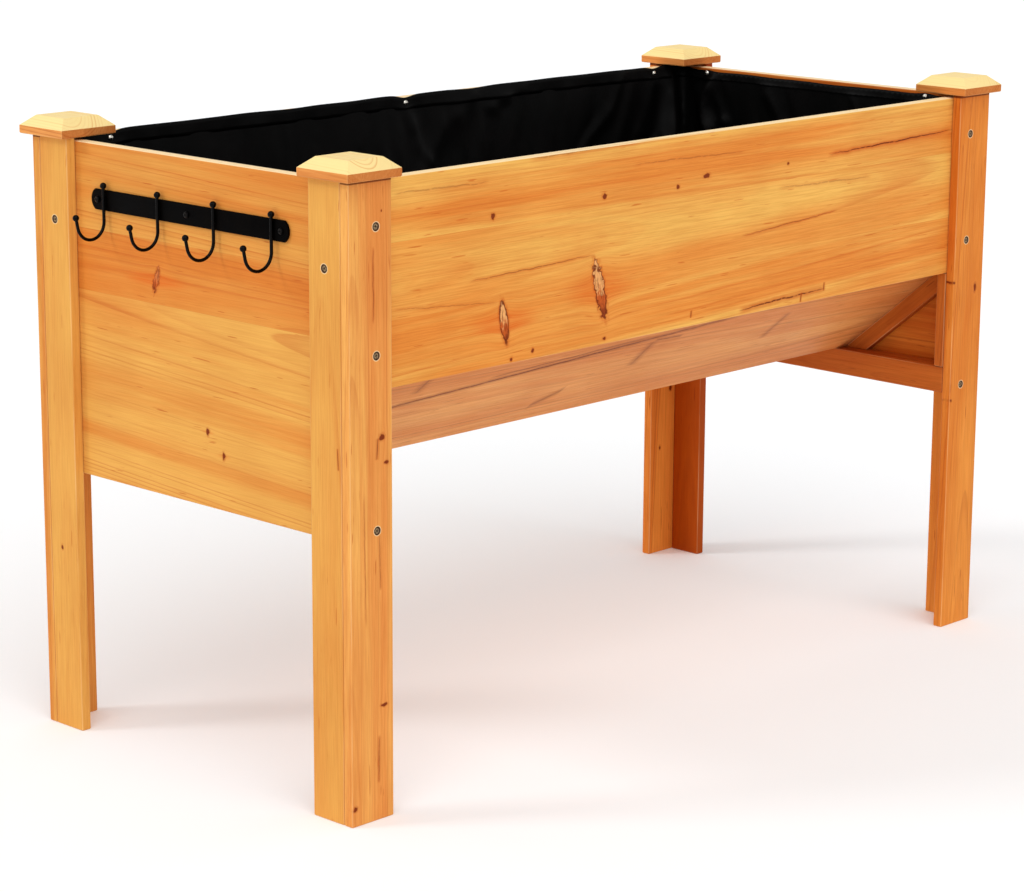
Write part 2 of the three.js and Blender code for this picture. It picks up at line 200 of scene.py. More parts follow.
class Graph:
    """Short calls that build one material's node tree, from sockets, Values and constants."""

    def __init__(self, name):
        self.material = bpy.data.materials.new(name)
        self.material.use_nodes = True
        self.tree = self.material.node_tree
        self.tree.nodes.clear()
        self.place = self.node("TexCoord").outputs["Object"]

    def node(self, kind, **settings):
        made = self.tree.nodes.new("ShaderNode" + kind)
        for name, setting in settings.items():
            setattr(made, name, setting)
        return made

    def put(self, socket, value):
        if isinstance(value, Value):
            value = value.socket
        if isinstance(value, bpy.types.NodeSocket):
            self.tree.links.new(value, socket)
        else:
            socket.default_value = value

    def fill(self, node, *values):
        for socket, value in zip(node.inputs, values):
            self.put(socket, value)
        return node

    def maths(self, operation, *values, clamp=False):
        node = self.node("Math", operation=operation, use_clamp=clamp)
        return Value(self, self.fill(node, *values).outputs[0])

    def clamp(self, value):
        return self.maths("ADD", value, 0.0, clamp=True)

    def vectors(self, operation, *values):
        return self.fill(self.node("VectorMath", operation=operation), *values).outputs["Vector"]

    def dot(self, vector, direction):
        node = self.node("VectorMath", operation="DOT_PRODUCT")
        return Value(self, self.fill(node, vector, tuple(direction)).outputs["Value"])

    def length(self, vector):
        node = self.node("VectorMath", operation="LENGTH")
        return Value(self, self.fill(node, vector).outputs["Value"])

    def combine(self, x=0.0, y=0.0, z=0.0):
        return self.fill(self.node("CombineXYZ"), x, y, z).outputs[0]

    def noise(self, vector, scale=1.0, detail=2.0, roughness=0.5):
        node = self.node("TexNoise")
        inputs = dict(Vector=vector, Scale=scale, Detail=detail, Roughness=roughness)
        for name, value in inputs.items():
            self.put(node.inputs[name], value)
        return Value(self, node.outputs[0])

    def random(self, value):
        node = self.node("TexWhiteNoise", noise_dimensions="1D")
        self.put(node.inputs["W"], value)
        return Value(self, node.outputs["Value"])

    def smooth(self, value, low, high, to_low=0.0, to_high=1.0):
        """value from low to high as a smooth step from to_low to to_high."""
        node = self.node("MapRange", interpolation_type="SMOOTHSTEP")
        for name, number in zip(RANGE_SOCKETS, (value, low, high, to_low, to_high)):
            self.put(node.inputs[name], number)
        return Value(self, node.outputs[0])

    def mix(self, share, first, second):
        node = self.node("Mix", data_type="RGBA")
        self.put(node.inputs["Factor"], share)
        for name, shade in (("A", first), ("B", second)):
            self.put(next(s for s in node.inputs if s.name == name and s.type == "RGBA"), shade)
        return next(s for s in node.outputs if s.type == "RGBA")

    def over(self, shade, share, paint):
        """A share of another colour over a shade."""
        return self.mix(share, shade, colour(*paint))

    def dim(self, shade, value):
        """A stained colour made value times as bright: redder when darker, as a thicker stain is."""
        return self.vectors("MULTIPLY", shade, self.combine(value**RED_KEPT, value, value**BLUE_LOST))

    def facing(self, direction):
        """The share of the surface's own direction that points along direction, -1 to 1."""
        return self.dot(self.node("NewGeometry").outputs["Normal"], direction)

    def bump(self, height, depth, strength=1.0):
        node = self.node("Bump")
        node.inputs["Strength"].default_value = strength
        node.inputs["Distance"].default_value = depth
        self.put(node.inputs["Height"], height)
        return node.outputs[0]

    def principled(self, colour, roughness, metallic=0.0, specular=0.5, normal=None, glow=0.0):
        shader = self.node("BsdfPrincipled")
        self.put(shader.inputs["Base Color"], colour)
        self.put(shader.inputs["Roughness"], roughness)
        shader.inputs["Metallic"].default_value = metallic
        shader.inputs["Specular IOR Level"].default_value = specular
        if normal is not None:
            self.put(shader.inputs["Normal"], normal)
        if glow:
            shader.inputs["Emission Color"].default_value = (1, 1, 1, 1)
            shader.inputs["Emission Strength"].default_value = glow
        self.fill(self.node("OutputMaterial"), shader.outputs[0])
        return self.material

    def clear_from_behind(self):
        """Clears the surface from its back, for a view from under the floor."""
        output = next(node for node in self.tree.nodes if node.type == "OUTPUT_MATERIAL")
        shader = output.inputs["Surface"].links[0].from_socket
        behind = self.node("NewGeometry").outputs["Backfacing"]
        clear = self.node("BsdfTransparent").outputs[0]
        self.fill(output, self.fill(self.node("MixShader"), behind, shader, clear).outputs[0])


# ---- wood ----

KNOT_HEART = (196, 88, 30)
KNOT_RIM = (92, 18, 0)
KNOT_SPOT = (112, 30, 2)
KNOT_PALE = (246, 186, 116)
# The dark of the cracks, also used for the painted shadows round screw heads and under post caps
CRACK_AND_SHADOW_TONE = (80, 16, 0)
SMEAR_LENGTH = 75 * MM
SMEAR_SHADE = (216, 92, 18)
WIDE_MARK = 2.2 * MM
CRACK_WAVER = 5 * MM
WAVER_RUN = 100 * MM
# How far below a post cap its painted shadow reaches down the leg boards
CAP_SHADOW_REACH = 4.6 * MM
STRIP_SEED = 3.7
STRIP_SHIFT = 30 * MM
RIPPLE = 1.6 * MM
JOINT_WIDTH = 0.5 * MM
EDGE_WEAR = (1.7 * MM, 0.6 * MM)
RAW_RING = (6.4 * MM, 5.6 * MM)
# Outer and inner radius of the painted shadow in the gap round a screw head
SCREW_GAP_SHADOW = (5.5 * MM, 5.0 * MM)
RED_KEPT = 0.6
BLUE_LOST = 1.3
WOOD_GLOSS = 0.07
WOOD_RELIEF = 0.14 * MM
EDGE_EASE = 0.5 * MM


@dataclass
class Knot:
    """A knot on a board's face, in metres from the board's middle, and its half sizes."""

    along: float
    across: float
    half_along: float
    half_across: float
    pale: float = 0.0
    smear: float = 0.0
    lean: float = 0.0
    ragged: float = 0.9


@dataclass
class Crack:
    """A hairline crack or dark streak from one point on the face to another."""

    start: tuple
    end: tuple
    width: float
    strength: float


def knot(*sizes, **looks):
    """A Knot, from its place along and across the board and its half sizes in millimetres."""
    return Knot(*(size * MM for size in sizes), **looks)


def crack(x0, y0, x1, y1, width, strength=0.85):
    """A Crack, from its two ends along and across the board and its width in millimetres."""
    return Crack((x0 * MM, y0 * MM), (x1 * MM, y1 * MM), width * MM, strength)


@dataclass
class Stain:
    """The colours of one sort of board: pale and deep bands, latewood lines, and raw wood."""

    pale: tuple
    deep: tuple
    late: tuple
    raw: tuple = (250, 226, 178)


LEG_STAIN = Stain(pale=(225, 164, 79), deep=(214, 134, 59), late=(186, 88, 28))
NEAR_FACE_STAIN = Stain(pale=(234, 167, 86), deep=(222, 138, 66), late=(180, 78, 24))
RIGHT_LEG_STAIN = Stain(pale=(230, 145, 60), deep=(212, 114, 36), late=(160, 66, 20))
# Deeper stains for the rear right leg, darkened in part as painted shade
REAR_FACE_STAIN_AND_SHADE = Stain(pale=(232, 140, 56), deep=(214, 112, 38), late=(150, 58, 16))
REAR_SIDE_STAIN_AND_SHADE = Stain(pale=(178, 78, 12), deep=(156, 58, 6), late=(128, 44, 10))
PANEL_STAIN = Stain(pale=(234, 177, 87), deep=(223, 135, 54), late=(196, 84, 20))
END_STAIN = Stain(pale=(225, 164, 79), deep=(213, 123, 47), late=(184, 76, 22))
# A deeper stain for the right end panel, darkened in part as painted shade of its inner face
FAR_END_STAIN_AND_SHADE = Stain(pale=(213, 123, 43), deep=(193, 93, 26), late=(150, 54, 12))
CAP_STAIN = Stain(pale=(232, 158, 86), deep=(213, 129, 60), late=(164, 78, 28), raw=(252, 230, 160))
TROUGH_STAIN = Stain(pale=(231, 162, 95), deep=(214, 131, 69), late=(150, 78, 38))
# A deep stain for the frame pieces inside and under the planter, darkened in part as painted shade
FRAME_STAIN_AND_SHADE = Stain(pale=(196, 106, 39), deep=(171, 76, 23), late=(122, 44, 12))


@dataclass
class Board:
    """How one board was cut from its log, and what shows on its face."""

    along: Vector
    across: Vector
    stain: Stain
    seed: float
    ring: float
    heart: tuple
    drift: tuple = (0.02, 0.03)
    wander: float = 9 * MM
    line_strength: float = 0.5
    streaks: float = 0.22
    fibres: float = 0.09
    band_low: float = 0.36
    band_high: float = 0.64
    knots: tuple = ()
    cracks: tuple = ()
    joints: tuple = ()
    tones: tuple = (0.0,)
    raw_top: bool = False
    screws: tuple = ()
    # The post cap whose painted shadow falls across the top of this board
    cap: str = ""


def board_space(node, board):
    """The board's three directions, its middle, and its half sizes along them."""
    axes = (board.along, board.across, board.along.cross(board.across))
    spans = []
    for axis in axes:
        reach = [axis.dot(v.co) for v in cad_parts[node].data.vertices]
        spans.append((min(reach), max(reach)))
    middle = sum(((low + high) / 2 * axis for (low, high), axis in zip(spans, axes)), Vector())
    return axes, middle, [(high - low) / 2 for low, high in spans]


class Wood(Graph):
    """A stained softwood, cut from a log whose heart runs beside the board."""

    def __init__(self, node, board):
        super().__init__(node + "_wood")
        self.board = board
        axes, middle, self.half = board_space(node, board)
        self.offset = self.vectors("SUBTRACT", self.place, tuple(middle))
        self.along, self.across, self.depth = (self.dot(self.offset, axis) for axis in axes)
        self.face = tuple(1 - abs(part) for part in axes[2])
        self.seed, self.tone = self.strips()
        self.line = self.grain_line()
        self.radius, self.late = self.rings()
        self.streak = self.fibre_noise((2.4, 270, 100), 0.42, 0.72, detail=4, roughness=0.68)
        self.fibre = self.fibre_noise((16, 760, 300), 0.34, 0.68, detail=3, roughness=0.7)
        self.blotch = self.noise(self.vectors("ADD", self.offset, (board.seed, 0, 0)), scale=7)

    def strips(self):
        """The glued strips across the board, as a seed and a tone for each."""
        joints, tones = self.board.joints, self.board.tones
        strip, tone = 0.0, tones[0]
        for joint, before, after in zip(joints, tones, tones[1:]):
            above = self.maths("GREATER_THAN", self.across, joint)
            strip = above + strip
            tone = above * (after - before) + tone
        return strip * STRIP_SEED + self.board.seed, tone

    def grain_line(self):
        """The grain's place across the board: it wanders, and it parts a little round each knot."""
        wander = self.noise(self.combine(self.along * 0.9, self.across * 5, self.seed))
        ripple = self.noise(self.combine(self.along * 6, self.across * 30, self.seed))
        line = self.across + (wander - 0.5) * self.board.wander + (ripple - 0.5) * RIPPLE
        for knot in self.board.knots:
            off = (self.along - knot.along) / (0.010 + 1.5 * knot.half_along)
            down = (self.across - knot.across) / (0.003 + 0.9 * knot.half_across)
            halo = self.maths("EXPONENT", (off * off + down * down) * -1)
            line = line - (line - knot.across) * halo * 0.4
        return line

    def rings(self):
        """The distance from the log's heart, and the growth rings' share of dark latewood."""
        board = self.board
        away = self.line - (self.along * board.drift[0] + board.heart[0])
        away = away + self.random(self.seed) * STRIP_SHIFT
        deep = self.depth + (self.along * board.drift[1] + board.heart[1])
        radius = self.length(self.combine(0.0, away, deep))
        phase = radius / board.ring
        number = self.maths("FLOOR", phase)
        share = phase - number
        late = self.smooth(share, 0.5, 0.92) * self.smooth(share, 1.0, 0.95)
        late = late * self.smooth(self.random(number + self.seed), 0.2, 1.0, 0.1, 1.0)
        fade = self.noise(self.combine(self.along * 2.4, radius * 90, self.seed), detail=1)
        return radius, late * self.smooth(fade, 0.32, 0.62, 0.15, 1.0)

    def fibre_noise(self, stretch, low, high, detail, roughness):
        """Noise drawn out along the grain."""
        place = self.combine(self.along, self.line, self.depth + self.seed)
        made = self.noise(self.vectors("MULTIPLY", place, stretch), detail=detail, roughness=roughness)
        return self.smooth(made, low, high)

    def bands(self):
        """Broad pale and deep bands, 0 to 1."""
        place = self.combine(self.along * 0.5, self.radius * 30, self.seed)
        broad = self.noise(place, detail=7, roughness=0.64)
        patch = self.noise(self.combine(self.along * 3.5, self.across * 16, self.seed))
        broad = self.smooth(broad, self.board.band_low, self.board.band_high) + self.tone
        return self.clamp((patch - 0.5) * 1.1 + broad)

    def bare_face(self):
        """The unmarked face: bands, latewood lines, streaks, fibres, flecks and glue joints."""
        board, stain = self.board, self.board.stain
        shade = self.mix(self.bands(), colour(*stain.pale), colour(*stain.deep))
        shade = self.over(shade, self.late * board.line_strength, stain.late)
        shade = self.over(shade, self.streak * board.streaks, stain.late)
        light, dark = 1 + 0.7 * board.fibres, 1 - 1.2 * board.fibres
        shade = self.dim(shade, self.smooth(self.fibre, 0, 1, light, dark))
        shade = self.dim(shade, self.smooth(self.blotch, 0.3, 0.7, 0.94, 1.05))
        place = self.combine(self.along, self.line, self.depth)
        fleck = self.noise(self.vectors("MULTIPLY", place, (24, 360, 360)), detail=1)
        shade = self.over(shade, self.smooth(fleck, 0.72, 0.78) * 0.6, stain.late)
        for joint in board.joints:
            joint_seam_and_cap_shadow = self.smooth(abs(self.across - joint), JOINT_WIDTH, 0.0, 0.0, 0.28)
            shade = self.over(shade, joint_seam_and_cap_shadow, stain.late)
        return shade

    def spot(self, shade, rough, wide, tall):
        """A small knot: a ragged dark spot with a stained ring. Also gives its dent."""
        distance = self.maths("SQRT", wide * wide + tall * tall) + rough * 2.0
        shade = self.over(shade, self.smooth(distance, 1.9, 1.0, 0.0, 0.4), self.board.stain.late)
        inside = self.smooth(distance, 1.1, 0.75)
        return self.over(shade, inside * 0.9, KNOT_SPOT), inside

    def split_knot(self, knot, shade, rough, off, down, wide, tall):
        """A large knot: a split lens with a thin rim and a pale, lined heart. Also gives its dent."""
        lens = abs(wide) ** 1.5 + abs(tall) ** 2.3 + rough * knot.ragged
        lines = self.noise(self.combine(off * 900, down * 60))
        above = self.smooth(rough * 1.6 + tall, -0.35, 0.15, 0.0, knot.pale)
        heart = self.mix(above, colour(*KNOT_HEART), colour(*KNOT_PALE))
        heart = self.over(heart, self.smooth(lines, 0.50, 0.62) * 0.75, KNOT_RIM)
        heart = self.over(heart, self.smooth(rough * 0.8 + tall, -0.45, -0.8, 0.0, 0.7), KNOT_RIM)
        rim = self.smooth(abs(lens - 1.0), 0.32, 0.08) * self.smooth(rough, -0.15, 0.0, 0.55, 1.0)
        shade = self.over(shade, self.smooth(lens, 2.2, 1.0, 0.0, 0.55), self.board.stain.late)
        shade = self.mix(self.smooth(lens, 1.05, 0.85) * 0.95, shade, heart)
        return self.over(shade, rim * (0.35 + 0.6 * knot.pale), KNOT_RIM), rim * 0.6

    def knot(self, knot, shade):
        """A knot, with the stain that runs from it along the grain, and its dent."""
        down = self.across - knot.across
        off = down * -knot.lean + (self.along - knot.along)
        rough = self.noise(self.place, scale=170, detail=3) - 0.5
        wide = off / knot.half_along
        tall = down / knot.half_across
        if knot.smear:
            reach = SMEAR_LENGTH if knot.pale else SMEAR_LENGTH / 5
            run = self.length(self.combine(off / reach, tall / 0.75))
            smear = self.smooth(run, 1.0, 0.3) * knot.smear
            smear = smear * self.smooth(self.streak, 0.0, 0.8, 0.6, 1.0)
            shade = self.over(shade, smear, SMEAR_SHADE)
        if knot.pale:
            return self.split_knot(knot, shade, rough, off, down, wide, tall)
        return self.spot(shade, rough, wide, tall)

    def crack(self, crack, shade):
        """A crack that tapers and wavers, with the stain beside it, and its dent."""
        run = crack.end[0] - crack.start[0]
        rise = crack.end[1] - crack.start[1]
        way, side, origin = self.along, self.across, crack.start
        if abs(run) < abs(rise):
            way, side, origin, run, rise = side, way, origin[::-1], rise, run
        gone = way - origin[0]
        share = self.clamp(gone / run)
        waver = self.noise(self.combine(way * 40, self.seed), detail=3)
        line = gone * (rise / run) + origin[1]
        line = line + (waver - 0.5) * (CRACK_WAVER * min(1, abs(run) / WAVER_RUN))
        taper = share * (1 - share) * 4
        gap = abs(side - line)
        inside = (self.maths("SQRT", taper) * crack.width - gap) / crack.width
        broken = self.noise(self.combine(way * 130, self.seed))
        soft = 0.6 if crack.width < WIDE_MARK else 1.4
        mark = self.smooth(inside, 0.0, soft) * self.smooth(broken, 0.32, 0.5, 0.35, 1.0)
        bleed = self.smooth(gap, 5 * crack.width, 0.0) * self.smooth(taper, 0.0, 0.3)
        shade = self.over(shade, bleed * (0.8 * crack.strength), self.board.stain.late)
        return self.over(shade, mark * crack.strength, CRACK_AND_SHADOW_TONE), mark

    def worn_edges(self, shade, end):
        """Eased edges wear pale, sawn ends take more stain, and some top faces are raw."""
        stain = self.board.stain
        ways = (self.along, self.across, self.depth)
        near = [size - abs(way) for size, way in zip(self.half, ways)]
        inner = self.maths("MINIMUM", self.maths("MAXIMUM", near[0], near[1]), near[2])
        second = self.maths("MAXIMUM", self.maths("MINIMUM", near[0], near[1]), inner)
        wear = self.smooth(second, *EDGE_WEAR) * self.smooth(self.blotch, 0.35, 0.6, 0.04, 0.22)
        shade = self.over(shade, wear, stain.raw)
        shade = self.over(shade, end * 0.45, stain.late)
        if self.board.raw_top:
            top = self.mix(self.late * 0.6, colour(*stain.raw), colour(*stain.pale))
            shade = self.mix(self.smooth(self.facing(Z), 0.3, 0.6, 0.0, 0.85), shade, top)
        return shade

    def fittings(self, shade):
        """A raw ring and a painted shadow in the gap round each screw, and a painted shadow under a
        cap.
        """
        for screw in self.board.screws:
            low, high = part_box(screw)
            offset = self.vectors("SUBTRACT", self.place, tuple((low + high) / 2))
            gap = self.length(self.vectors("MULTIPLY", offset, self.face))
            shade = self.over(shade, self.smooth(gap, *RAW_RING, 0.0, 0.75), self.board.stain.raw)
            # Painted shadow in the gap round the screw head
            shade = self.over(shade, self.smooth(gap, *SCREW_GAP_SHADOW, 0.0, 0.9), CRACK_AND_SHADOW_TONE)
        if self.board.cap:
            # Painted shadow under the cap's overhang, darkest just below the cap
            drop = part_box(self.board.cap)[0].z - self.dot(self.place, Z)
            joint_seam_and_cap_shadow = self.smooth(drop, CAP_SHADOW_REACH, 0.7 * CAP_SHADOW_REACH, 0.0, 0.8)
            shade = self.over(shade, joint_seam_and_cap_shadow, CRACK_AND_SHADOW_TONE)
        return shade

    def finished(self):
        shade, pits = self.bare_face(), 0.0
        for marks, draw in ((self.board.knots, self.knot), (self.board.cracks, self.crack)):
            for mark in marks:
                shade, pit = draw(mark, shade)
                pits = self.maths("MAXIMUM", pits, pit)
        end = self.smooth(abs(self.facing(self.board.along)), 0.6, 0.9)
        shade = self.fittings(self.worn_edges(shade, end))
        height = self.fibre * -0.35 + self.late * -0.5 + self.maths("MULTIPLY", pits, -0.8)
        rough = self.smooth(self.fibre, 0, 1, 0.44, 0.56) + end * 0.15
        normal = self.bump(height, WOOD_RELIEF)
        return self.principled(shade, rough, specular=WOOD_GLOSS, normal=normal)


def dress_board(node, *cut, **looks):
    """Gives a CAD board its wood, and rounds its cut edges."""
    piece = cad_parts[node]
    piece.data.materials.clear()
    piece.data.materials.append(Wood(node, Board(*cut, **looks)).finished())
    weld = piece.modifiers.new("weld", "WELD")
    weld.merge_threshold = EDGE_EASE / 50
    flat = piece.modifiers.new("flat", "DECIMATE")
    flat.decimate_type = "DISSOLVE"
    flat.angle_limit = math.radians(1)
    bevel = piece.modifiers.new("ease", "BEVEL")
    bevel.width = EDGE_EASE
    bevel.segments = 2
    bevel.limit_method = "ANGLE"
    bevel.angle_limit = math.radians(25)


def slope_direction(node):
    """The direction down a trough board, from its box: it runs corner to corner but for its end."""
    low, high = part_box(node)
    side = 1 if (low.y + high.y) > 0 else -1
    foot = min(abs(low.y), abs(high.y))
    top = max(abs(low.y), abs(high.y))
    return Vector((0, side * (foot - top), low.z - high.z)).normalized()


# ---- the boards ----

# The stain of each leg's face board, then of its side board; the rear right leg's are darkened in part
# as painted shade
LEG_STAINS = {
    "front_left": (NEAR_FACE_STAIN, LEG_STAIN),
    "front_right": (RIGHT_LEG_STAIN, RIGHT_LEG_STAIN),
    "rear_left": (LEG_STAIN, LEG_STAIN),
    "rear_right": (REAR_FACE_STAIN_AND_SHADE, REAR_SIDE_STAIN_AND_SHADE),
}

# Marks on the boards, in millimetres from the board's middle: along the grain, then across it.
FACE_BOARD_MARKS = {
    "front_left": dict(
        knots=(
            knot(80, 16, 4, 4),
            knot(50, 23, 2, 3.5),
            knot(-236, 18, 2, 5),
            knot(-352, -28, 3, 3),
            knot(337, 17, 1.5, 1),
        ),
        cracks=(
            crack(80, 10, 54, 8, 1, 0.6),
            crack(300, 4, 210, 4, 0.6, 0.6),
            crack(-30, 12, -100, 13, 0.7, 0.5),
            crack(-270, 10, -330, 9, 0.8, 0.6),
            crack(20, -12, -140, -10, 0.6, 0.35),
        ),
        joints=(-0.018,),
        tones=(-0.35, 0.04),
    ),
    "front_right": dict(knots=(knot(105, 16, 5, 3), knot(117, -32, 2, 1.5), knot(-48, -30, 2, 2))),
    "rear_right": dict(knots=(knot(-120, 10, 4, 3), knot(-210, -12, 3, 2))),
    "rear_left": dict(knots=(knot(50, 8, 3, 3), knot(-250, -15, 4, 3))),
}
SIDE_BOARD_MARKS = {
    "front_left": dict(cracks=(crack(72, -20, 45, -21, 0.6),)),
    "rear_left": dict(knots=(knot(-140, 4, 3, 2),)),
    "front_right": dict(knots=(knot(100, 6, 4, 3),)),
}

FRONT_KNOTS = (
    knot(-338, -69, 6.5, 25, pale=0.8, smear=0.8, lean=-0.15, ragged=1.4),
    knot(-172, -52, 8.5, 35, pale=0.75, smear=0.5, lean=-0.25, ragged=2.8),
    knot(-357, 58, 3.6, 3.2),
    knot(-166, 61, 3.6, 3.4),
    knot(-326, -115, 2.6, 2.8),
    knot(-289, -110, 2.4, 2.6),
    knot(-163, -113, 3, 2.2),
    knot(-31, 58, 2.6, 2.4),
    knot(23, 66, 6, 2.8),
    knot(183, 66, 2.4, 1.8),
)
FRONT_CRACKS = (
    crack(262, 69, 540, 77, 1.2),
    crack(88, -113, 270, -106, 1.4),
    crack(264, -98, 263, -110, 0.8),
    crack(217, -106, 215, -119, 0.8),
    crack(-2, -100, -3, -110, 0.8),
    crack(-520, -30, -345, -45, 0.7, 0.3),
    crack(-400, -14, -178, -8, 0.8, 0.5),
    crack(90, -18, 290, -6, 0.6, 0.6),
    crack(-300, 118, -100, 122, 1.8, 0.35),
    crack(-120, 94, 100, 90, 1.2, 0.3),
    crack(160, 36, 360, 31, 1.4, 0.3),
    crack(-520, 101, -360, 99, 1.4, 0.3),
)
REAR_KNOTS = (
    knot(-290, 30, 5, 9, pale=0.3),
    knot(120, -70, 4, 5),
    knot(360, 60, 6, 12, pale=0.4),
)
END_KNOTS = (
    knot(68, 54, 4.5, 15, pale=0.2, smear=0.7, lean=-0.3, ragged=3.6),
    knot(-21, -115, 3, 3.6, smear=0.3),
    knot(-49, -140, 2.6, 4.2, smear=0.3),
)
FAR_END_KNOTS = (
    knot(-80, 50, 5, 7, pale=0.3),
    knot(100, -90, 4, 5),
)
TROUGH_CRACKS = (
    crack(-540, -15, 160, -85, 1.8, 0.8),
    crack(-300, -50, -20, -74, 1, 0.6),
    crack(-421.5, -49, -422, -93, 3, 0.5),
    crack(-135, 67, -93, 36, 3.4, 0.65),
    crack(5, 7, -5, -60, 3, 0.6),
    crack(-5, -60, 51, -57, 1.4, 0.6),
    crack(270, 10, 265, -60, 2.4, 0.5),
)
FRAME_CUT = dict(ring=4 * MM, heart=(0.02, 0.05))


def leg_screws(corner):
    return tuple(f"{corner}_face_screw_{place}" for place in ("bottom", "middle", "top"))


def dress_legs():
    for index, corner in enumerate(CORNERS):
        side = -1 if "left" in corner else 1
        face_stain, side_stain = LEG_STAINS[corner]
        dress_board(
            corner + "_leg_face_board", Z, X, face_stain,
            seed=11.3 + index * 5, ring=3.4 * MM, heart=(0.03 * side, 0.06), line_strength=0.4,
            screws=leg_screws(corner), cap=corner + "_post_cap", **FACE_BOARD_MARKS.get(corner, {}),
        )
        dress_board(
            corner + "_leg_side_board", Z, Y, side_stain,
            seed=31.9 + index * 7, ring=4.6 * MM, heart=(0.01, 0.05), line_strength=0.24,
            streaks=0.12, fibres=0.07, band_low=0.32, band_high=0.84,
            screws=(corner + "_side_screw",), **SIDE_BOARD_MARKS.get(corner, {}),
        )
        dress_board(
            corner + "_post_cap", Y, X, CAP_STAIN,
            seed=51.1 + index * 3, ring=4 * MM, heart=(0.01, 0.03), raw_top=True,
        )
        dress_board(corner + "_leg_filler", Z, X, FRAME_STAIN_AND_SHADE, seed=71.7 + index * 3, **FRAME_CUT)


def dress_panels():
    dress_board(
        "front_panel", X, Z, PANEL_STAIN,
        seed=2.4, ring=6 * MM, heart=(0.02, 0.09), drift=(0.03, 0.02), wander=6 * MM,
        line_strength=0.34, knots=FRONT_KNOTS, cracks=FRONT_CRACKS,
        joints=(-0.043, 0.046), tones=(0.12, -0.24, 0.0), raw_top=True,
    )
    dress_board(
        "rear_panel", X, Z, PANEL_STAIN,
        seed=6.1, ring=6 * MM, heart=(-0.03, 0.08), drift=(-0.02, 0.03), line_strength=0.4,
        knots=REAR_KNOTS, cracks=(crack(50, 20, 220, 28, 0.8),),
        joints=(-0.05, 0.037), tones=(0.0, -0.2, 0.15), raw_top=True,
    )
    dress_board(
        "left_end_panel", Y, Z, END_STAIN,
        seed=8.7, ring=4.6 * MM, heart=(0.03, 0.07), drift=(0.05, 0.02), wander=5 * MM,
        line_strength=0.42, streaks=0.10, fibres=0.05, band_low=0.30, band_high=0.78,
        knots=END_KNOTS, joints=(0.026, 0.102), tones=(-0.22, 0.30, 0.08), raw_top=True,
    )
    dress_board(
        "right_end_panel", Y, Z, FAR_END_STAIN_AND_SHADE,
        seed=9.9, ring=7 * MM, heart=(-0.05, 0.06), drift=(-0.04, 0.02), knots=FAR_END_KNOTS,
        joints=(-0.07, 0.06), tones=(0.0, -0.2, 0.1), raw_top=True,
    )


def dress_trough():
    for index, side in enumerate(("front", "rear")):
        down = slope_direction(side + "_trough_board")
        dress_board(
            side + "_trough_board", X, down, TROUGH_STAIN,
            seed=14.2 + index * 9, ring=7 * MM, heart=(0.02, 0.08),
            cracks=TROUGH_CRACKS if side == "front" else (), joints=(0.01,), tones=(0.0, -0.1),
        )
        dress_board(
            side + "_floor_board", X, Y, TROUGH_STAIN,
            seed=17.5 + index * 4, ring=5 * MM, heart=(0.02, 0.06),
        )
    for index, side in enumerate(("left", "right")):
        dress_board(side + "_floor_batten", Y, Z, FRAME_STAIN_AND_SHADE, seed=23.5 + index * 4, **FRAME_CUT)
    for index, corner in enumerate(CORNERS):
        down = slope_direction(corner.split("_")[0] + "_trough_board")
        across = X.cross(down)
        seed = 27.5 + index * 4
        dress_board(corner + "_slope_cleat", down, across, FRAME_STAIN_AND_SHADE, seed=seed, **FRAME_CUT)


# ---- metal pieces ----

RING_SIDES = 28
LEG_SCREW_HEAD = 4.5 * MM
LEG_SCREW_CONE = 2.6 * MM
LEG_SCREW_SHANK = 2.0 * MM
THREAD_PITCH = 2.2 * MM
THREAD_DEPTH = 0.5 * MM
THREAD_ROWS = 5
THREAD_TIP = 3 * MM
BLUNT_TIP = 0.15
RECESS_WIDTH = 1.1 * MM
RECESS_REACH = 2.5 * MM
RECESS_DEPTH = 1.5 * MM
RECESS_TAPER = 0.55
SPIN_STEP = 1.1
RAIL_SCREW_HEAD = 4.0 * MM
RAIL_SCREW_DOME = 2.6 * MM
HOOK_WIRE = 2.0 * MM
HOOK_BALL = 4.0 * MM
HOOK_BEND = 20.0 * MM
HOOK_SWEEP = math.radians(168)
HOOK_TIP = 13.0 * MM
RAIL_END_BULGE = 7.0 * MM
RAIL_EASE = 0.5 * MM
TACK_RADIUS = 4.0 * MM
TACK_DOME = 2.2 * MM
TACK_DROP = 5.5 * MM
TACK_STAND = 4.0 * MM


def add_piece(name, mesh, material, slot, *nodes):
    """A new object on the one body, shown in place of the CAD nodes. Copies share one mesh."""
    piece = new_object(name, mesh)
    if not mesh.materials:
        mesh.materials.append(material)
    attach(piece, "root")
    if nodes:
        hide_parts(*nodes)
    return piece


def join_rows(work, rows):
    """Faces between rows of vertices."""
    for first, second in zip(rows, rows[1:]):
        for i in range(len(first) - 1):
            work.faces.new((first[i], first[i + 1], second[i + 1], second[i]))


def mesh_from(work, name):
    mesh = bpy.data.meshes.new(name)
    work.to_mesh(mesh)
    work.free()
    return mesh


def mesh_of_rings(name, rings):
    """A closed surface through rings of points. A ring of one point is a tip."""
    work = bmesh.new()
    rows = [[work.verts.new(point) for point in ring] for ring in rings]
    for first, second in zip(rows, rows[1:]):
        count = max(len(first), len(second))
        for i in range(count):
            steps = ((first, i), (second, i), (second, i + 1), (first, i + 1))
            corners = [ring[step % count % len(ring)] for ring, step in steps]
            work.faces.new(list(dict.fromkeys(corners)))
    bmesh.ops.recalc_face_normals(work, faces=work.faces)
    for face in work.faces:
        face.smooth = True
    return mesh_from(work, name)


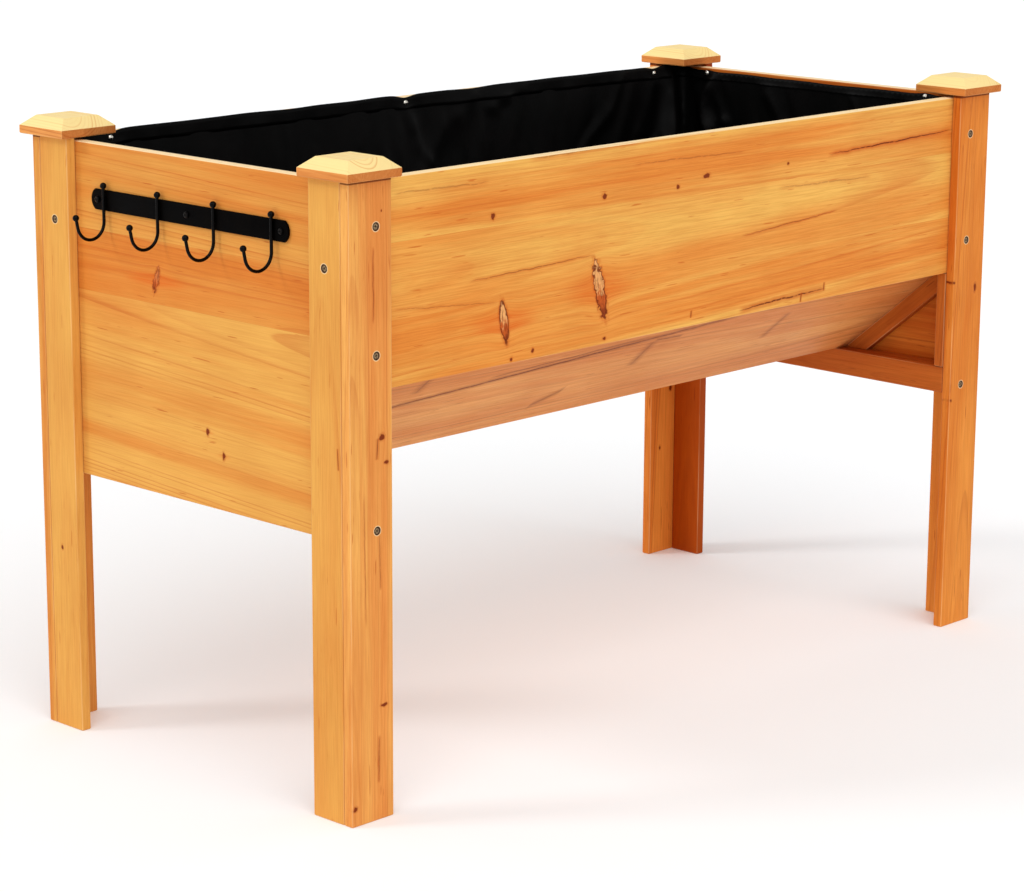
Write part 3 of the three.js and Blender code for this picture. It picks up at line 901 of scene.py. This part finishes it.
def ring_at(radius, height, wave=lambda angle: 0.0):
    if radius == 0:
        return [Vector((0, 0, height))]
    ring = []
    for step in range(RING_SIDES):
        angle = math.tau * step / RING_SIDES
        reach = radius + wave(angle)
        ring.append(Vector((reach * math.cos(angle), reach * math.sin(angle), height)))
    return ring


def thread_rings(top, bottom):
    """Rings of a wood screw's shank, whose thread winds down to a point."""
    rings = []
    rows = round((top - bottom) / THREAD_PITCH * THREAD_ROWS)
    for row in range(rows + 1):
        height = top + (bottom - top) * row / rows
        turn = height / THREAD_PITCH

        def crest(angle):
            share = (turn - angle / math.tau) % 1
            return taper * THREAD_DEPTH * max(0.0, 1 - 4 * abs(share - 0.5))

        taper = min(1.0, (height - bottom) / THREAD_TIP + BLUNT_TIP)
        rings.append(ring_at((LEG_SCREW_SHANK - THREAD_DEPTH) * taper, height, crest))
    return rings


def evaluated(piece):
    """A mesh of the piece as its modifiers leave it."""
    return bpy.data.meshes.new_from_object(piece.evaluated_get(bpy.context.evaluated_depsgraph_get()))


def cut_recess(mesh):
    """Cuts a tapered cross into the top of a screw head."""
    cutter = bmesh.new()
    for turn in (0, math.pi / 2):
        spin = Matrix.Rotation(turn, 4, "Z")
        for vertex in bmesh.ops.create_cube(cutter, size=1.0)["verts"]:
            low = vertex.co.z < 0
            squeeze = RECESS_TAPER if low else 1.0
            vertex.co.x *= 2 * RECESS_REACH * squeeze
            vertex.co.y *= RECESS_WIDTH * squeeze
            vertex.co.z = -RECESS_DEPTH if low else RAIL_SCREW_DOME
            vertex.co = spin @ vertex.co
    tool = new_object("recess_tool", mesh_from(cutter, "recess_tool"))
    blank = new_object("screw_blank", mesh)
    cut = blank.modifiers.new("recess", "BOOLEAN")
    cut.operation = "DIFFERENCE"
    cut.solver = "EXACT"
    cut.use_self = True
    cut.object = tool
    bpy.context.view_layer.update()
    done = evaluated(blank)
    bpy.data.objects.remove(blank)
    bpy.data.objects.remove(tool)
    done.name = mesh.name + "_cut"
    done.materials.clear()
    done.set_sharp_from_angle(angle=math.radians(35))
    return done


def screw_mesh(name, head, thread_top, length):
    """A screw from the rings of its head: the thread and the point follow."""
    shank = thread_rings(thread_top, 0.8 * MM - length)
    return cut_recess(mesh_of_rings(name, head + shank + [ring_at(0, 0.2 * MM - length)]))


def leg_screw_mesh(length):
    head = [
        ring_at(0, -0.05 * MM),
        ring_at(0.5 * LEG_SCREW_HEAD, -0.03 * MM),
        ring_at(0.9 * LEG_SCREW_HEAD, -0.02 * MM),
        ring_at(LEG_SCREW_HEAD, -0.2 * MM),
        ring_at(LEG_SCREW_HEAD, -0.5 * MM),
        ring_at(LEG_SCREW_SHANK, -LEG_SCREW_CONE - 0.3 * MM),
        ring_at(LEG_SCREW_SHANK, -8 * MM),
    ]
    return screw_mesh("leg_screw", head, -8.5 * MM, length)


def rail_screw_mesh(length):
    top = [ring_at(0, 0)]
    for step in range(1, 9):
        angle = math.pi / 2 * step / 8
        height = RAIL_SCREW_DOME * (math.cos(angle) ** 0.8 - 1)
        top.append(ring_at(RAIL_SCREW_HEAD * math.sin(angle), height))
    top.append(ring_at(RAIL_SCREW_HEAD, -RAIL_SCREW_DOME - 0.1 * MM))
    top.append(ring_at(LEG_SCREW_SHANK, -RAIL_SCREW_DOME - 0.1 * MM))
    return screw_mesh("rail_screw", top, -RAIL_SCREW_DOME - 0.4 * MM, length)


def turned(place, out, spin=0.0):
    """The transform of a piece that stands at a place and looks along out."""
    turn = out.to_track_quat("Z", "Y").to_matrix().to_4x4() @ Matrix.Rotation(spin, 4, "Z")
    return Matrix.Translation(place) @ turn


def place_screw(node, mesh, steel, out, spin):
    """A screw whose head looks along out, at the outer face of its CAD node."""
    low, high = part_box(node)
    outer = (low + high) / 2 + out * abs(out.dot(high - low)) / 2
    piece = add_piece(node + "_steel", mesh, steel, "zinc_steel", node)
    piece.matrix_world = turned(outer, out, spin)


def make_screws():
    # In each screw steel the last colour darkens the head's rim and paints the shade in its recess
    steel = screw_steel("zinc_plated_steel", (162, 136, 104), (92, 72, 50), (38, 26, 16))
    low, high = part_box("front_left_face_screw_top")
    mesh = leg_screw_mesh(high.y - low.y)
    spin = 0.0
    for corner in CORNERS:
        face_out = -Y if "front" in corner else Y
        side_out = -X if "left" in corner else X
        for node in (*leg_screws(corner), corner + "_side_screw"):
            spin += SPIN_STEP
            place_screw(node, mesh, steel, side_out if "side" in node else face_out, spin)
    steel = screw_steel("blackened_steel", (34, 30, 27), (14, 12, 10), (4, 3, 3))
    low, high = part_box("hook_rail_screw_1")
    mesh = rail_screw_mesh(high.x - low.x)
    for number in (1, 2, 3):
        place_screw(f"hook_rail_screw_{number}", mesh, steel, -X, 0.5 * number)


def wire_path(low, high):
    """Points down a hook's wire, in the XZ plane: straight, round the bend, and up the tip."""
    back = high.x - HOOK_BALL
    centre = Vector((back - HOOK_BEND, 0, low.z + HOOK_WIRE + HOOK_BEND))
    top = high.z - HOOK_BALL
    points = []
    steps = 24
    for step in range(steps):
        points.append(Vector((back, 0, top + (centre.z - top) * step / steps)))
    for step in range(steps + 1):
        angle = HOOK_SWEEP * step / steps
        points.append(centre + HOOK_BEND * Vector((math.cos(angle), 0, -math.sin(angle))))
    way = Vector((-math.sin(HOOK_SWEEP), 0, -math.cos(HOOK_SWEEP)))
    last = points[-1]
    for step in range(1, 11):
        points.append(last + way * HOOK_TIP * step / 10)
    return points


def hook_mesh(name, low, high):
    """A round wire swept down its path, swelling into a ball round each end."""
    path = wire_path(low, high)
    middle = (low.y + high.y) / 2
    sides = 20
    rings = []

    def ring(centre, way, radius):
        side = way.cross(Y).normalized()
        return [
            centre + middle * Y + radius * (math.cos(a) * side + math.sin(a) * Y)
            for a in (math.tau * i / sides for i in range(sides))
        ]

    def ball(centre, way, first, last):
        """Rings of a ball from angle first to last, measured from its far pole."""
        steps = 12
        for step in range(steps + 1):
            angle = first + (last - first) * step / steps
            place = centre - way * HOOK_BALL * math.cos(angle)
            tip = angle in (0.0, math.pi)
            rings.append([place + middle * Y] if tip else ring(place, way, HOOK_BALL * math.sin(angle)))

    neck = math.asin(HOOK_WIRE / HOOK_BALL)
    down = (path[1] - path[0]).normalized()
    up = (path[-1] - path[-2]).normalized()
    reach = HOOK_BALL * math.cos(neck)
    ball(path[0], down, 0.0, math.pi - neck)
    for before, here, after in zip(path, path[1:], path[2:]):
        if (here - path[0]).length > reach and (here - path[-1]).length > reach:
            rings.append(ring(here, (after - before).normalized(), HOOK_WIRE))
    ball(path[-1], up, neck, math.pi)
    return mesh_of_rings(name, rings)


def make_hooks():
    steel = black_steel("black_wire_paint", 0.18, 0.08)
    bar_steel = black_steel("black_bar_paint", 0.40, 0.02)
    for number in (1, 2, 3, 4):
        node = f"tool_hook_{number}"
        add_piece(node + "_wire", hook_mesh(node, *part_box(node)), steel, "black_steel", node)
    bar = rail_mesh_of(*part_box("hook_rail"))
    add_piece("hook_rail_bar", bar, bar_steel, "black_steel", "hook_rail")


def rail_mesh_of(low, high):
    """A flat bar with bowed ends and eased edges."""
    half = (high.z - low.z) / 2
    middle = (high.z + low.z) / 2
    radius = (half * half + RAIL_END_BULGE * RAIL_END_BULGE) / (2 * RAIL_END_BULGE)
    sweep = math.asin(half / radius)
    outline = []
    steps = 16
    for side in (1, -1):
        for step in range(steps + 1):
            angle = sweep * (1 - 2 * step / steps)
            edge = high.y if side > 0 else low.y
            y = edge - side * radius * (1 - math.cos(angle))
            outline.append((y, middle + side * radius * math.sin(angle)))
    work = bmesh.new()
    base = [work.verts.new((high.x, y, z)) for y, z in outline]
    face = work.faces.new(base)
    made = bmesh.ops.extrude_face_region(work, geom=[face])["geom"]
    for vertex in (v for v in made if isinstance(v, bmesh.types.BMVert)):
        vertex.co.x = low.x
    bmesh.ops.recalc_face_normals(work, faces=work.faces)
    rims = [e for e in work.edges if abs(e.verts[0].co.x - e.verts[1].co.x) < MM / 10]
    bmesh.ops.bevel(work, geom=rims, offset=RAIL_EASE, segments=3, affect="EDGES", profile=0.5)
    for face in work.faces:
        face.smooth = True
    mesh = mesh_from(work, "hook_rail_bar")
    mesh.set_sharp_from_angle(angle=math.radians(30))
    return mesh


def black_steel(name, rough_low, specular):
    """Black paint over steel: slightly uneven, and a little brighter where it is rubbed."""
    g = Graph(name)
    speck = g.noise(g.place, scale=900, detail=3)
    cloud = g.noise(g.place, scale=60, detail=3)
    shade = g.mix(g.smooth(cloud, 0.35, 0.75), colour(2, 1, 1), colour(6, 4, 3))
    rough = g.smooth(cloud, 0.3, 0.7, rough_low, rough_low + 0.14)
    normal = g.bump(speck + cloud * 2.0, 0.12 * MM, 0.6)
    return g.principled(shade, rough, specular=specular, normal=normal)


def screw_steel(name, bright, dull, rim_dark_and_recess_shade):
    """Plated steel in bright and dull patches, darker towards the rim of its head, with painted shade
    in its recess.
    """
    g = Graph(name)
    cloud = g.noise(g.place, scale=420, detail=3)
    shade = g.mix(g.smooth(cloud, 0.35, 0.7), colour(*bright), colour(*dull))
    around = g.length(g.vectors("MULTIPLY", g.place, (1, 1, 0)))
    edge = g.smooth(around, 0.62 * LEG_SCREW_HEAD, 0.85 * LEG_SCREW_HEAD, 0.0, 0.9)
    shade = g.over(shade, edge, rim_dark_and_recess_shade)
    # Painted shade in the cross recess, darker deeper down
    shade = g.over(shade, g.smooth(g.dot(g.place, Z), -0.3 * MM, -1.1 * MM), rim_dark_and_recess_shade)
    normal = g.bump(cloud, 0.1 * MM, 0.5)
    return g.principled(shade, g.smooth(cloud, 0.3, 0.7, 0.3, 0.5), metallic=0.9, normal=normal)


def tack_steel():
    """Bright nickel plate with faint scuffs."""
    g = Graph("bright_nickel")
    cloud = g.noise(g.place, scale=500, detail=3)
    shade = g.mix(g.smooth(cloud, 0.35, 0.7), colour(236, 232, 222), colour(198, 192, 180))
    normal = g.bump(cloud, 0.08 * MM, 0.4)
    return g.principled(shade, g.smooth(cloud, 0.3, 0.7, 0.16, 0.34), metallic=1.0, normal=normal)


# ---- liner ----

LINER_LOW, LINER_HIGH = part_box("planting_liner")
LINER_MIDDLE = (LINER_LOW + LINER_HIGH) / 2
LINER_CELL = 9 * MM
LINER_START = 2.0 * MM
LINER_CLOTH = 1.0 * MM
LINER_SLACK = 0.012
LINER_FRAMES = 20
RIM_HOLD = 0.97
HELD_DEPTH = 16 * MM
TACK_REACH = 9 * MM
ROUND_PASSES = 14
WALL_REACH = 45 * MM
RIM_RISE = {"rear": 5.5 * MM, "front": -1.0 * MM, "left": -1.5 * MM, "right": -2.5 * MM}
RIM_REACH = 60 * MM
HEM_DEPTH = 14.0 * MM
HEM_LIFT = 1.0 * MM
TACKS_ALONG = (-505 * MM, 0.0, 505 * MM)
TACKS_ACROSS = (-197 * MM, 197 * MM)


@dataclass
class Fold:
    """A ridge in the cloth on one wall: its line as (along the wall, drop below the rim)."""

    wall: str
    line: tuple
    height: float
    width: float


def fold(wall, height, width, *line):
    """A Fold, from millimetres: its height and width, then its points (along, drop)."""
    return Fold(wall, tuple((a * MM, b * MM) for a, b in line), height * MM, width * MM)


# The folds that show from the front left.
FOLDS = (
    fold("rear", 1.6, 5, (-300, 0), (-310, 100), (-330, 300)),
    fold("rear", 12, 34, (120, 12), (60, 50), (0, 130), (-20, 260)),
    fold("rear", 5, 7, (140, 30), (200, 16), (240, 6)),
    fold("rear", 10, 12, (430, 12), (410, 50), (350, 90), (280, 170)),
    fold("rear", 20, 18, (535, 15), (528, 120), (520, 260)),
    fold("rear", 6, 8, (460, 85), (500, 95), (515, 120)),
    fold("right", 15, 14, (185, 12), (200, 60), (170, 140), (180, 250)),
    fold("right", 8, 8, (150, 70), (180, 80), (210, 75)),
    fold("right", 6, 8, (-70, 20), (-100, 70), (-120, 120)),
    fold("right", 8, 20, (80, 30), (20, 100), (-40, 200)),
    fold("left", 12, 16, (-160, 10), (-190, 100), (-180, 260)),
    fold("left", 12, 16, (190, 10), (200, 100), (180, 240)),
    fold("front", 14, 16, (-530, 15), (-520, 120), (-520, 250)),
    fold("front", 14, 16, (530, 15), (520, 120), (530, 250)),
)
DRAG_LINES = 3
DRAG_TOP = 12 * MM
DRAG_HEIGHT = 5 * MM
DRAG_WIDTH = 10 * MM
TACK_PINCH = 13 * MM
LOOSE_DROP = 20 * MM
WAVE_HEIGHT = 5 * MM
CREASE_HEIGHT = 2.5 * MM
RIM_SAG = 1.5 * MM
SHELL_GAP = 1.0 * MM
COLLISION_GAP = 1.5 * MM
CLOTH_NATURE = dict(
    quality=6,
    mass=0.12,
    air_damping=2.0,
    tension_stiffness=15,
    compression_stiffness=15,
    shear_stiffness=8,
    bending_stiffness=0.05,
    pin_stiffness=1.2,
    vertex_group_mass="held",
)


def trough_outline(inset):
    """Corners of the space inside the boards, as (y, z), from the front rim round to the rear rim."""
    board_low, board_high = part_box("rear_trough_board")
    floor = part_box("rear_floor_board")[1].z
    rise = (board_high.z - board_low.z) / (board_high.y - board_low.y)
    lift = inset * math.hypot(1, rise)
    wall = LINER_HIGH.y - inset
    slope_top = board_low.z + rise * (wall - board_low.y) + lift
    foot = board_low.y + (floor + inset - lift - board_low.z) / rise
    half = [(wall, LINER_HIGH.z), (wall, slope_top), (foot, floor + inset)]
    return [(-y, z) for y, z in half] + half[::-1]


def spread(corners, cell):
    """Points along a line through the corners, about a cell apart."""
    points = [corners[0]]
    for (y0, z0), (y1, z1) in zip(corners, corners[1:]):
        steps = max(1, round(math.hypot(y1 - y0, z1 - z0) / cell))
        for i in range(1, steps + 1):
            points.append((y0 + (y1 - y0) * i / steps, z0 + (z1 - z0) * i / steps))
    return points


def half_width(section, z):
    """Half the trough's width at a height."""
    for (y0, z0), (y1, z1) in zip(section, section[1:]):
        if y0 > 0 and min(z0, z1) <= z <= max(z0, z1) and z0 != z1:
            return y0 + (y1 - y0) * (z - z0) / (z1 - z0)
    return section[-1][0]


def end_wall(section, cell):
    """Triangles that fill the outline between the two rims: (points, faces)."""
    rim_front, rim_rear = section[0], section[-1]
    columns = round((rim_rear[0] - rim_front[0]) / cell)
    span = rim_front[0] - rim_rear[0]
    edge = section + [(rim_rear[0] + span * i / columns, rim_rear[1]) for i in range(1, columns)]
    points = [Vector(p) for p in edge]
    floor = min(z for _, z in section)
    rows = round((rim_front[1] - floor) / cell)
    for row in range(1, rows):
        z = rim_front[1] - (rim_front[1] - floor) * row / rows
        half = half_width(section, z) - 0.6 * cell
        for column in range(-columns, columns + 1):
            y = (column + 0.5 * (row % 2)) * cell
            if abs(y) < half:
                points.append(Vector((y, z)))
    count = len(edge)
    links = [(i, (i + 1) % count) for i in range(count)]
    made = geometry.delaunay_2d_cdt(points, links, [list(range(count))], 1, 1e-7)
    return made[0], made[2]


def make_bag():
    """An open bag that fits the trough, as one sheet of small cells, its creases rounded off."""
    section = spread(trough_outline(LINER_START), LINER_CELL)
    x0, x1 = LINER_LOW.x + LINER_START, LINER_HIGH.x - LINER_START
    columns = round((x1 - x0) / LINER_CELL)
    work = bmesh.new()
    grid = [
        [work.verts.new((x0 + (x1 - x0) * c / columns, y, z)) for y, z in section]
        for c in range(columns + 1)
    ]
    join_rows(work, grid)
    points, faces = end_wall(section, LINER_CELL)
    for x in (x0, x1):
        wall = [work.verts.new((x, p.x, p.y)) for p in points]
        for face in faces:
            work.faces.new([wall[i] for i in face])
    bmesh.ops.remove_doubles(work, verts=work.verts, dist=LINER_CELL / 50)
    bmesh.ops.recalc_face_normals(work, faces=work.faces)
    inner = [v for v in work.verts if v.co.z < LINER_HIGH.z - LINER_CELL / 2]
    for _ in range(ROUND_PASSES):
        bmesh.ops.smooth_vert(
            work, verts=inner, factor=0.5, use_axis_x=True, use_axis_y=True, use_axis_z=True
        )
    return mesh_from(work, "liner_cloth")


def tack_places():
    """Where the liner is tacked, as (wall, place along it, place, direction into the planter)."""
    height = LINER_HIGH.z - TACK_DROP
    for along in TACKS_ALONG:
        x = LINER_MIDDLE.x + along
        yield "front", along, Vector((x, LINER_LOW.y, height)), Y
        yield "rear", along, Vector((x, LINER_HIGH.y, height)), -Y
    for across in TACKS_ACROSS:
        y = LINER_MIDDLE.y + across
        yield "left", across, Vector((LINER_LOW.x, y, height)), X
        yield "right", across, Vector((LINER_HIGH.x, y, height)), -X


def drag_lines():
    """Small ridges that fan down from each tack."""
    dice = random.Random(5)
    for wall, along, _, _ in tack_places():
        for number in range(DRAG_LINES):
            lean = (number - (DRAG_LINES - 1) / 2) * dice.uniform(0.05, 0.10)
            fall = dice.uniform(0.05, 0.16)
            bow = dice.uniform(-0.02, 0.02)
            half_way = (along + lean * 0.5 + bow, DRAG_TOP + fall * 0.45)
            line = ((along, DRAG_TOP), half_way, (along + lean, DRAG_TOP + fall))
            height = DRAG_HEIGHT * dice.uniform(0.5, 1.0)
            yield Fold(wall, line, height, DRAG_WIDTH * dice.uniform(0.7, 1.5))


def fold_height(fold, along, drop):
    """How far the fold lifts the cloth at a place on its wall."""
    place = Vector((along, drop))
    spans = [(Vector(a), Vector(b)) for a, b in zip(fold.line, fold.line[1:])]
    total = sum((b - a).length for a, b in spans)
    best, gone = (1.0, 0.0), 0.0
    for first, second in spans:
        way = second - first
        share = min(max((place - first).dot(way) / way.length_squared, 0.0), 1.0)
        gap = (place - first - share * way).length
        if gap < best[0]:
            best = (gap, (gone + share * way.length) / total)
        gone += way.length
    gap, run = best
    if gap > 3 * fold.width:
        return 0.0
    swell = math.sin(math.pi * min(1.0, 0.12 + 0.88 * run)) ** 0.6
    return fold.height * swell / (1 + (gap / (0.6 * fold.width)) ** 2) ** 1.5


def walls_at(point, outline):
    """For each wall near a point: its name, nearness, the place along it, and the way in."""
    half = half_width(outline, point.z)
    x, y = point.x - LINER_MIDDLE.x, point.y - LINER_MIDDLE.y
    for wall, gap, along, inward in (
        ("left", point.x - LINER_LOW.x, y, X),
        ("right", LINER_HIGH.x - point.x, y, -X),
        ("front", half + point.y, x, Y),
        ("rear", half - point.y, x, -Y),
    ):
        if gap < WALL_REACH:
            yield wall, 1 - max(gap, 0.0) / WALL_REACH, along, inward


def shape_cloth(mesh):
    """Lifts the folds and creases off the boards, and lets the rim rise and sag."""
    rim = LINER_HIGH.z
    outline = trough_outline(LINER_CLOTH)
    by_wall = {}
    for fold in [*FOLDS, *drag_lines()]:
        by_wall.setdefault(fold.wall, []).append(fold)
    tacks = [place for _, _, place, _ in tack_places()]
    for vertex in mesh.vertices:
        point = vertex.co.copy()
        drop = rim - point.z
        loose = min(1.0, drop / LOOSE_DROP)
        move = Vector()
        for wall, near, along, inward in walls_at(point, outline):
            lift = sum(fold_height(fold, along, drop) for fold in by_wall[wall])
            wave = noise.noise(Vector((along * 9, drop * 4, len(wall))))
            crease = 1 - abs(noise.noise(Vector((along * 22 + drop * 9, drop * 12, len(wall) * 3))))
            lift += loose * (WAVE_HEIGHT * max(0.0, wave) + CREASE_HEIGHT * crease**6)
            move += inward * lift * near
            hold = max(0.0, 1 - drop / RIM_REACH)
            sag = RIM_SAG * noise.noise(Vector((along * 12, 0, len(wall) * 5)))
            move.z += near * hold * (RIM_RISE[wall] + sag)
        pinch = min((point - tack).length for tack in tacks) / TACK_PINCH
        move = move * (1 - math.exp(-pinch * pinch))
        vertex.co = keep_inside(point + move, rim + RIM_RISE["rear"] + 2 * MM, outline)


def keep_inside(point, top, outline):
    """The nearest place to point that is clear of the boards and below the rim."""
    x = min(max(point.x, LINER_LOW.x + LINER_CLOTH), LINER_HIGH.x - LINER_CLOTH)
    z = min(max(point.z, outline[2][1]), top)
    half = half_width(outline, z)
    return Vector((x, min(max(point.y, -half), half), z))


def make_hem(liner):
    """The turned-over edge: a second layer of cloth along the rim, just inside the first."""
    foot = LINER_HIGH.z - HEM_DEPTH
    work = bmesh.new()
    work.from_mesh(liner)
    gone = [f for f in work.faces if min(v.co.z for v in f.verts) < foot - LINER_CELL]
    bmesh.ops.delete(work, geom=gone, context="FACES")
    middle = (cad_box[0] + cad_box[1]) / 2
    for vertex in work.verts:
        inward = -vertex.normal if vertex.normal.dot(middle - vertex.co) < 0 else vertex.normal
        inward.z = 0
        vertex.co += inward * HEM_LIFT
        vertex.co.z = max(vertex.co.z, foot)
    return mesh_from(work, "liner_hem")


def finish_cloth(piece):
    """Smooth shading, one subdivision, and the cloth's thickness."""
    for face in piece.data.polygons:
        face.use_smooth = True
    smooth = piece.modifiers.new("smooth", "SUBSURF")
    smooth.levels = smooth.render_levels = 1
    thick = piece.modifiers.new("thick", "SOLIDIFY")
    thick.thickness = LINER_CLOTH
    thick.offset = 0


def shell_mesh():
    """The inside of the boards, as one surface for the cloth to rest against."""
    section = trough_outline(-SHELL_GAP)
    ends = (LINER_LOW.x - SHELL_GAP, LINER_HIGH.x + SHELL_GAP)
    work = bmesh.new()
    rows = [[work.verts.new((x, y, z)) for y, z in section] for x in ends]
    join_rows(work, rows)
    for row in rows:
        work.faces.new(row)
    bmesh.ops.recalc_face_normals(work, faces=work.faces)
    bmesh.ops.reverse_faces(work, faces=work.faces)
    return mesh_from(work, "shell")


def slack_key(sheet):
    """The cut size of the bag, a little larger than the trough, as a shape key."""
    sheet.shape_key_add(name="fitted")
    cut = sheet.shape_key_add(name="cut")
    for point in cut.data:
        point.co = LINER_MIDDLE + (point.co - LINER_MIDDLE) * (1 + LINER_SLACK)
    cut.value = 0.0
    return cut


def drape(sheet):
    """Lets the slack bag hang from its tacks against the boards, and keeps the shape it takes."""
    scene = bpy.context.scene
    group = sheet.vertex_groups.new(name="held")
    tacks = [place for _, _, place, _ in tack_places()]
    rim = max(v.co.z for v in sheet.data.vertices)
    for vertex in sheet.data.vertices:
        near = min((vertex.co - tack).length for tack in tacks)
        hold = RIM_HOLD if vertex.co.z > rim - HELD_DEPTH else 0.0
        group.add([vertex.index], 1.0 if near < TACK_REACH else hold, "REPLACE")
    shell = new_object("shell", shell_mesh())
    collision = shell.modifiers.new("collision", "COLLISION").id_data.collision
    collision.thickness_outer = COLLISION_GAP
    collision.cloth_friction = 2
    collision.damping = 0.6
    cloth = sheet.modifiers.new("cloth", "CLOTH")
    cloth.settings.rest_shape_key = slack_key(sheet)
    for name, setting in CLOTH_NATURE.items():
        setattr(cloth.settings, name, setting)
    cloth.collision_settings.distance_min = COLLISION_GAP
    cloth.collision_settings.collision_quality = 2
    for frame_number in range(1, LINER_FRAMES + 1):
        scene.frame_set(frame_number)
    done = evaluated(sheet)
    sheet.modifiers.clear()
    sheet.data = done
    bpy.data.objects.remove(shell)
    scene.frame_set(1)


def make_liner():
    cloth = liner_fabric()
    mesh = make_bag()
    shape_cloth(mesh)
    piece = add_piece("liner_cloth", mesh, cloth, "liner_fabric", "planting_liner")
    hem = add_piece("liner_hem", make_hem(mesh), cloth, "liner_fabric")
    drape(piece)
    finish_cloth(piece)
    finish_cloth(hem)
    section = spread(trough_outline(0), LINER_CELL)
    around = sum(math.dist(a, b) for a, b in zip(section, section[1:]))
    length, height = LINER_HIGH.x - LINER_LOW.x, LINER_HIGH.z - LINER_LOW.z
    around * length + 2 * end_area(section)
    make_tacks()


def end_area(section):
    """The area of one end of the bag."""
    rim = section[-1][1]
    total = 0.0
    for (y0, z0), (y1, z1) in zip(section, section[1:]):
        total += (y1 - y0) * (rim - (z0 + z1) / 2)
    return abs(total)


def make_tacks():
    profile = [ring_at(0, TACK_DOME)]
    steps = 8
    for step in range(1, steps + 1):
        angle = math.pi / 2 * step / steps
        profile.append(ring_at(TACK_RADIUS * math.sin(angle), TACK_DOME * math.cos(angle)))
    profile.append(ring_at(TACK_RADIUS, -0.2 * MM))
    profile.append(ring_at(0.6 * MM, -0.3 * MM))
    profile.append(ring_at(0.6 * MM, -0.8 * MM))
    profile.append(ring_at(0, -1.0 * MM))
    mesh = mesh_of_rings("liner_tack", profile)
    steel = tack_steel()
    for number, (_, _, place, inward) in enumerate(tack_places(), 1):
        piece = add_piece(f"liner_tack_{number}", mesh, steel, "tack_steel")
        piece.matrix_world = turned(place + inward * TACK_STAND, inward)


def liner_fabric():
    """Black non-woven cloth: matted fibres with a faint grey sheen."""
    g = Graph("black_liner_cloth")
    fibres = g.noise(g.place, scale=1400, detail=3, roughness=0.7)
    cloud = g.noise(g.place, scale=14, detail=3)
    shade = g.mix(g.smooth(cloud, 0.35, 0.7), colour(2, 2, 2), colour(5, 4, 4))
    shade = g.over(shade, g.smooth(fibres, 0.5, 0.8, 0.0, 0.5), (13, 11, 10))
    normal = g.bump(fibres, 0.15 * MM, 0.7)
    return g.principled(shade, g.smooth(fibres, 0.3, 0.7, 0.38, 0.5), specular=0.06, normal=normal)


# ---- putting it together ----

make_camera()
make_lights()
make_floor()
dress_legs()
dress_panels()
dress_trough()
make_screws()
make_hooks()
make_liner()
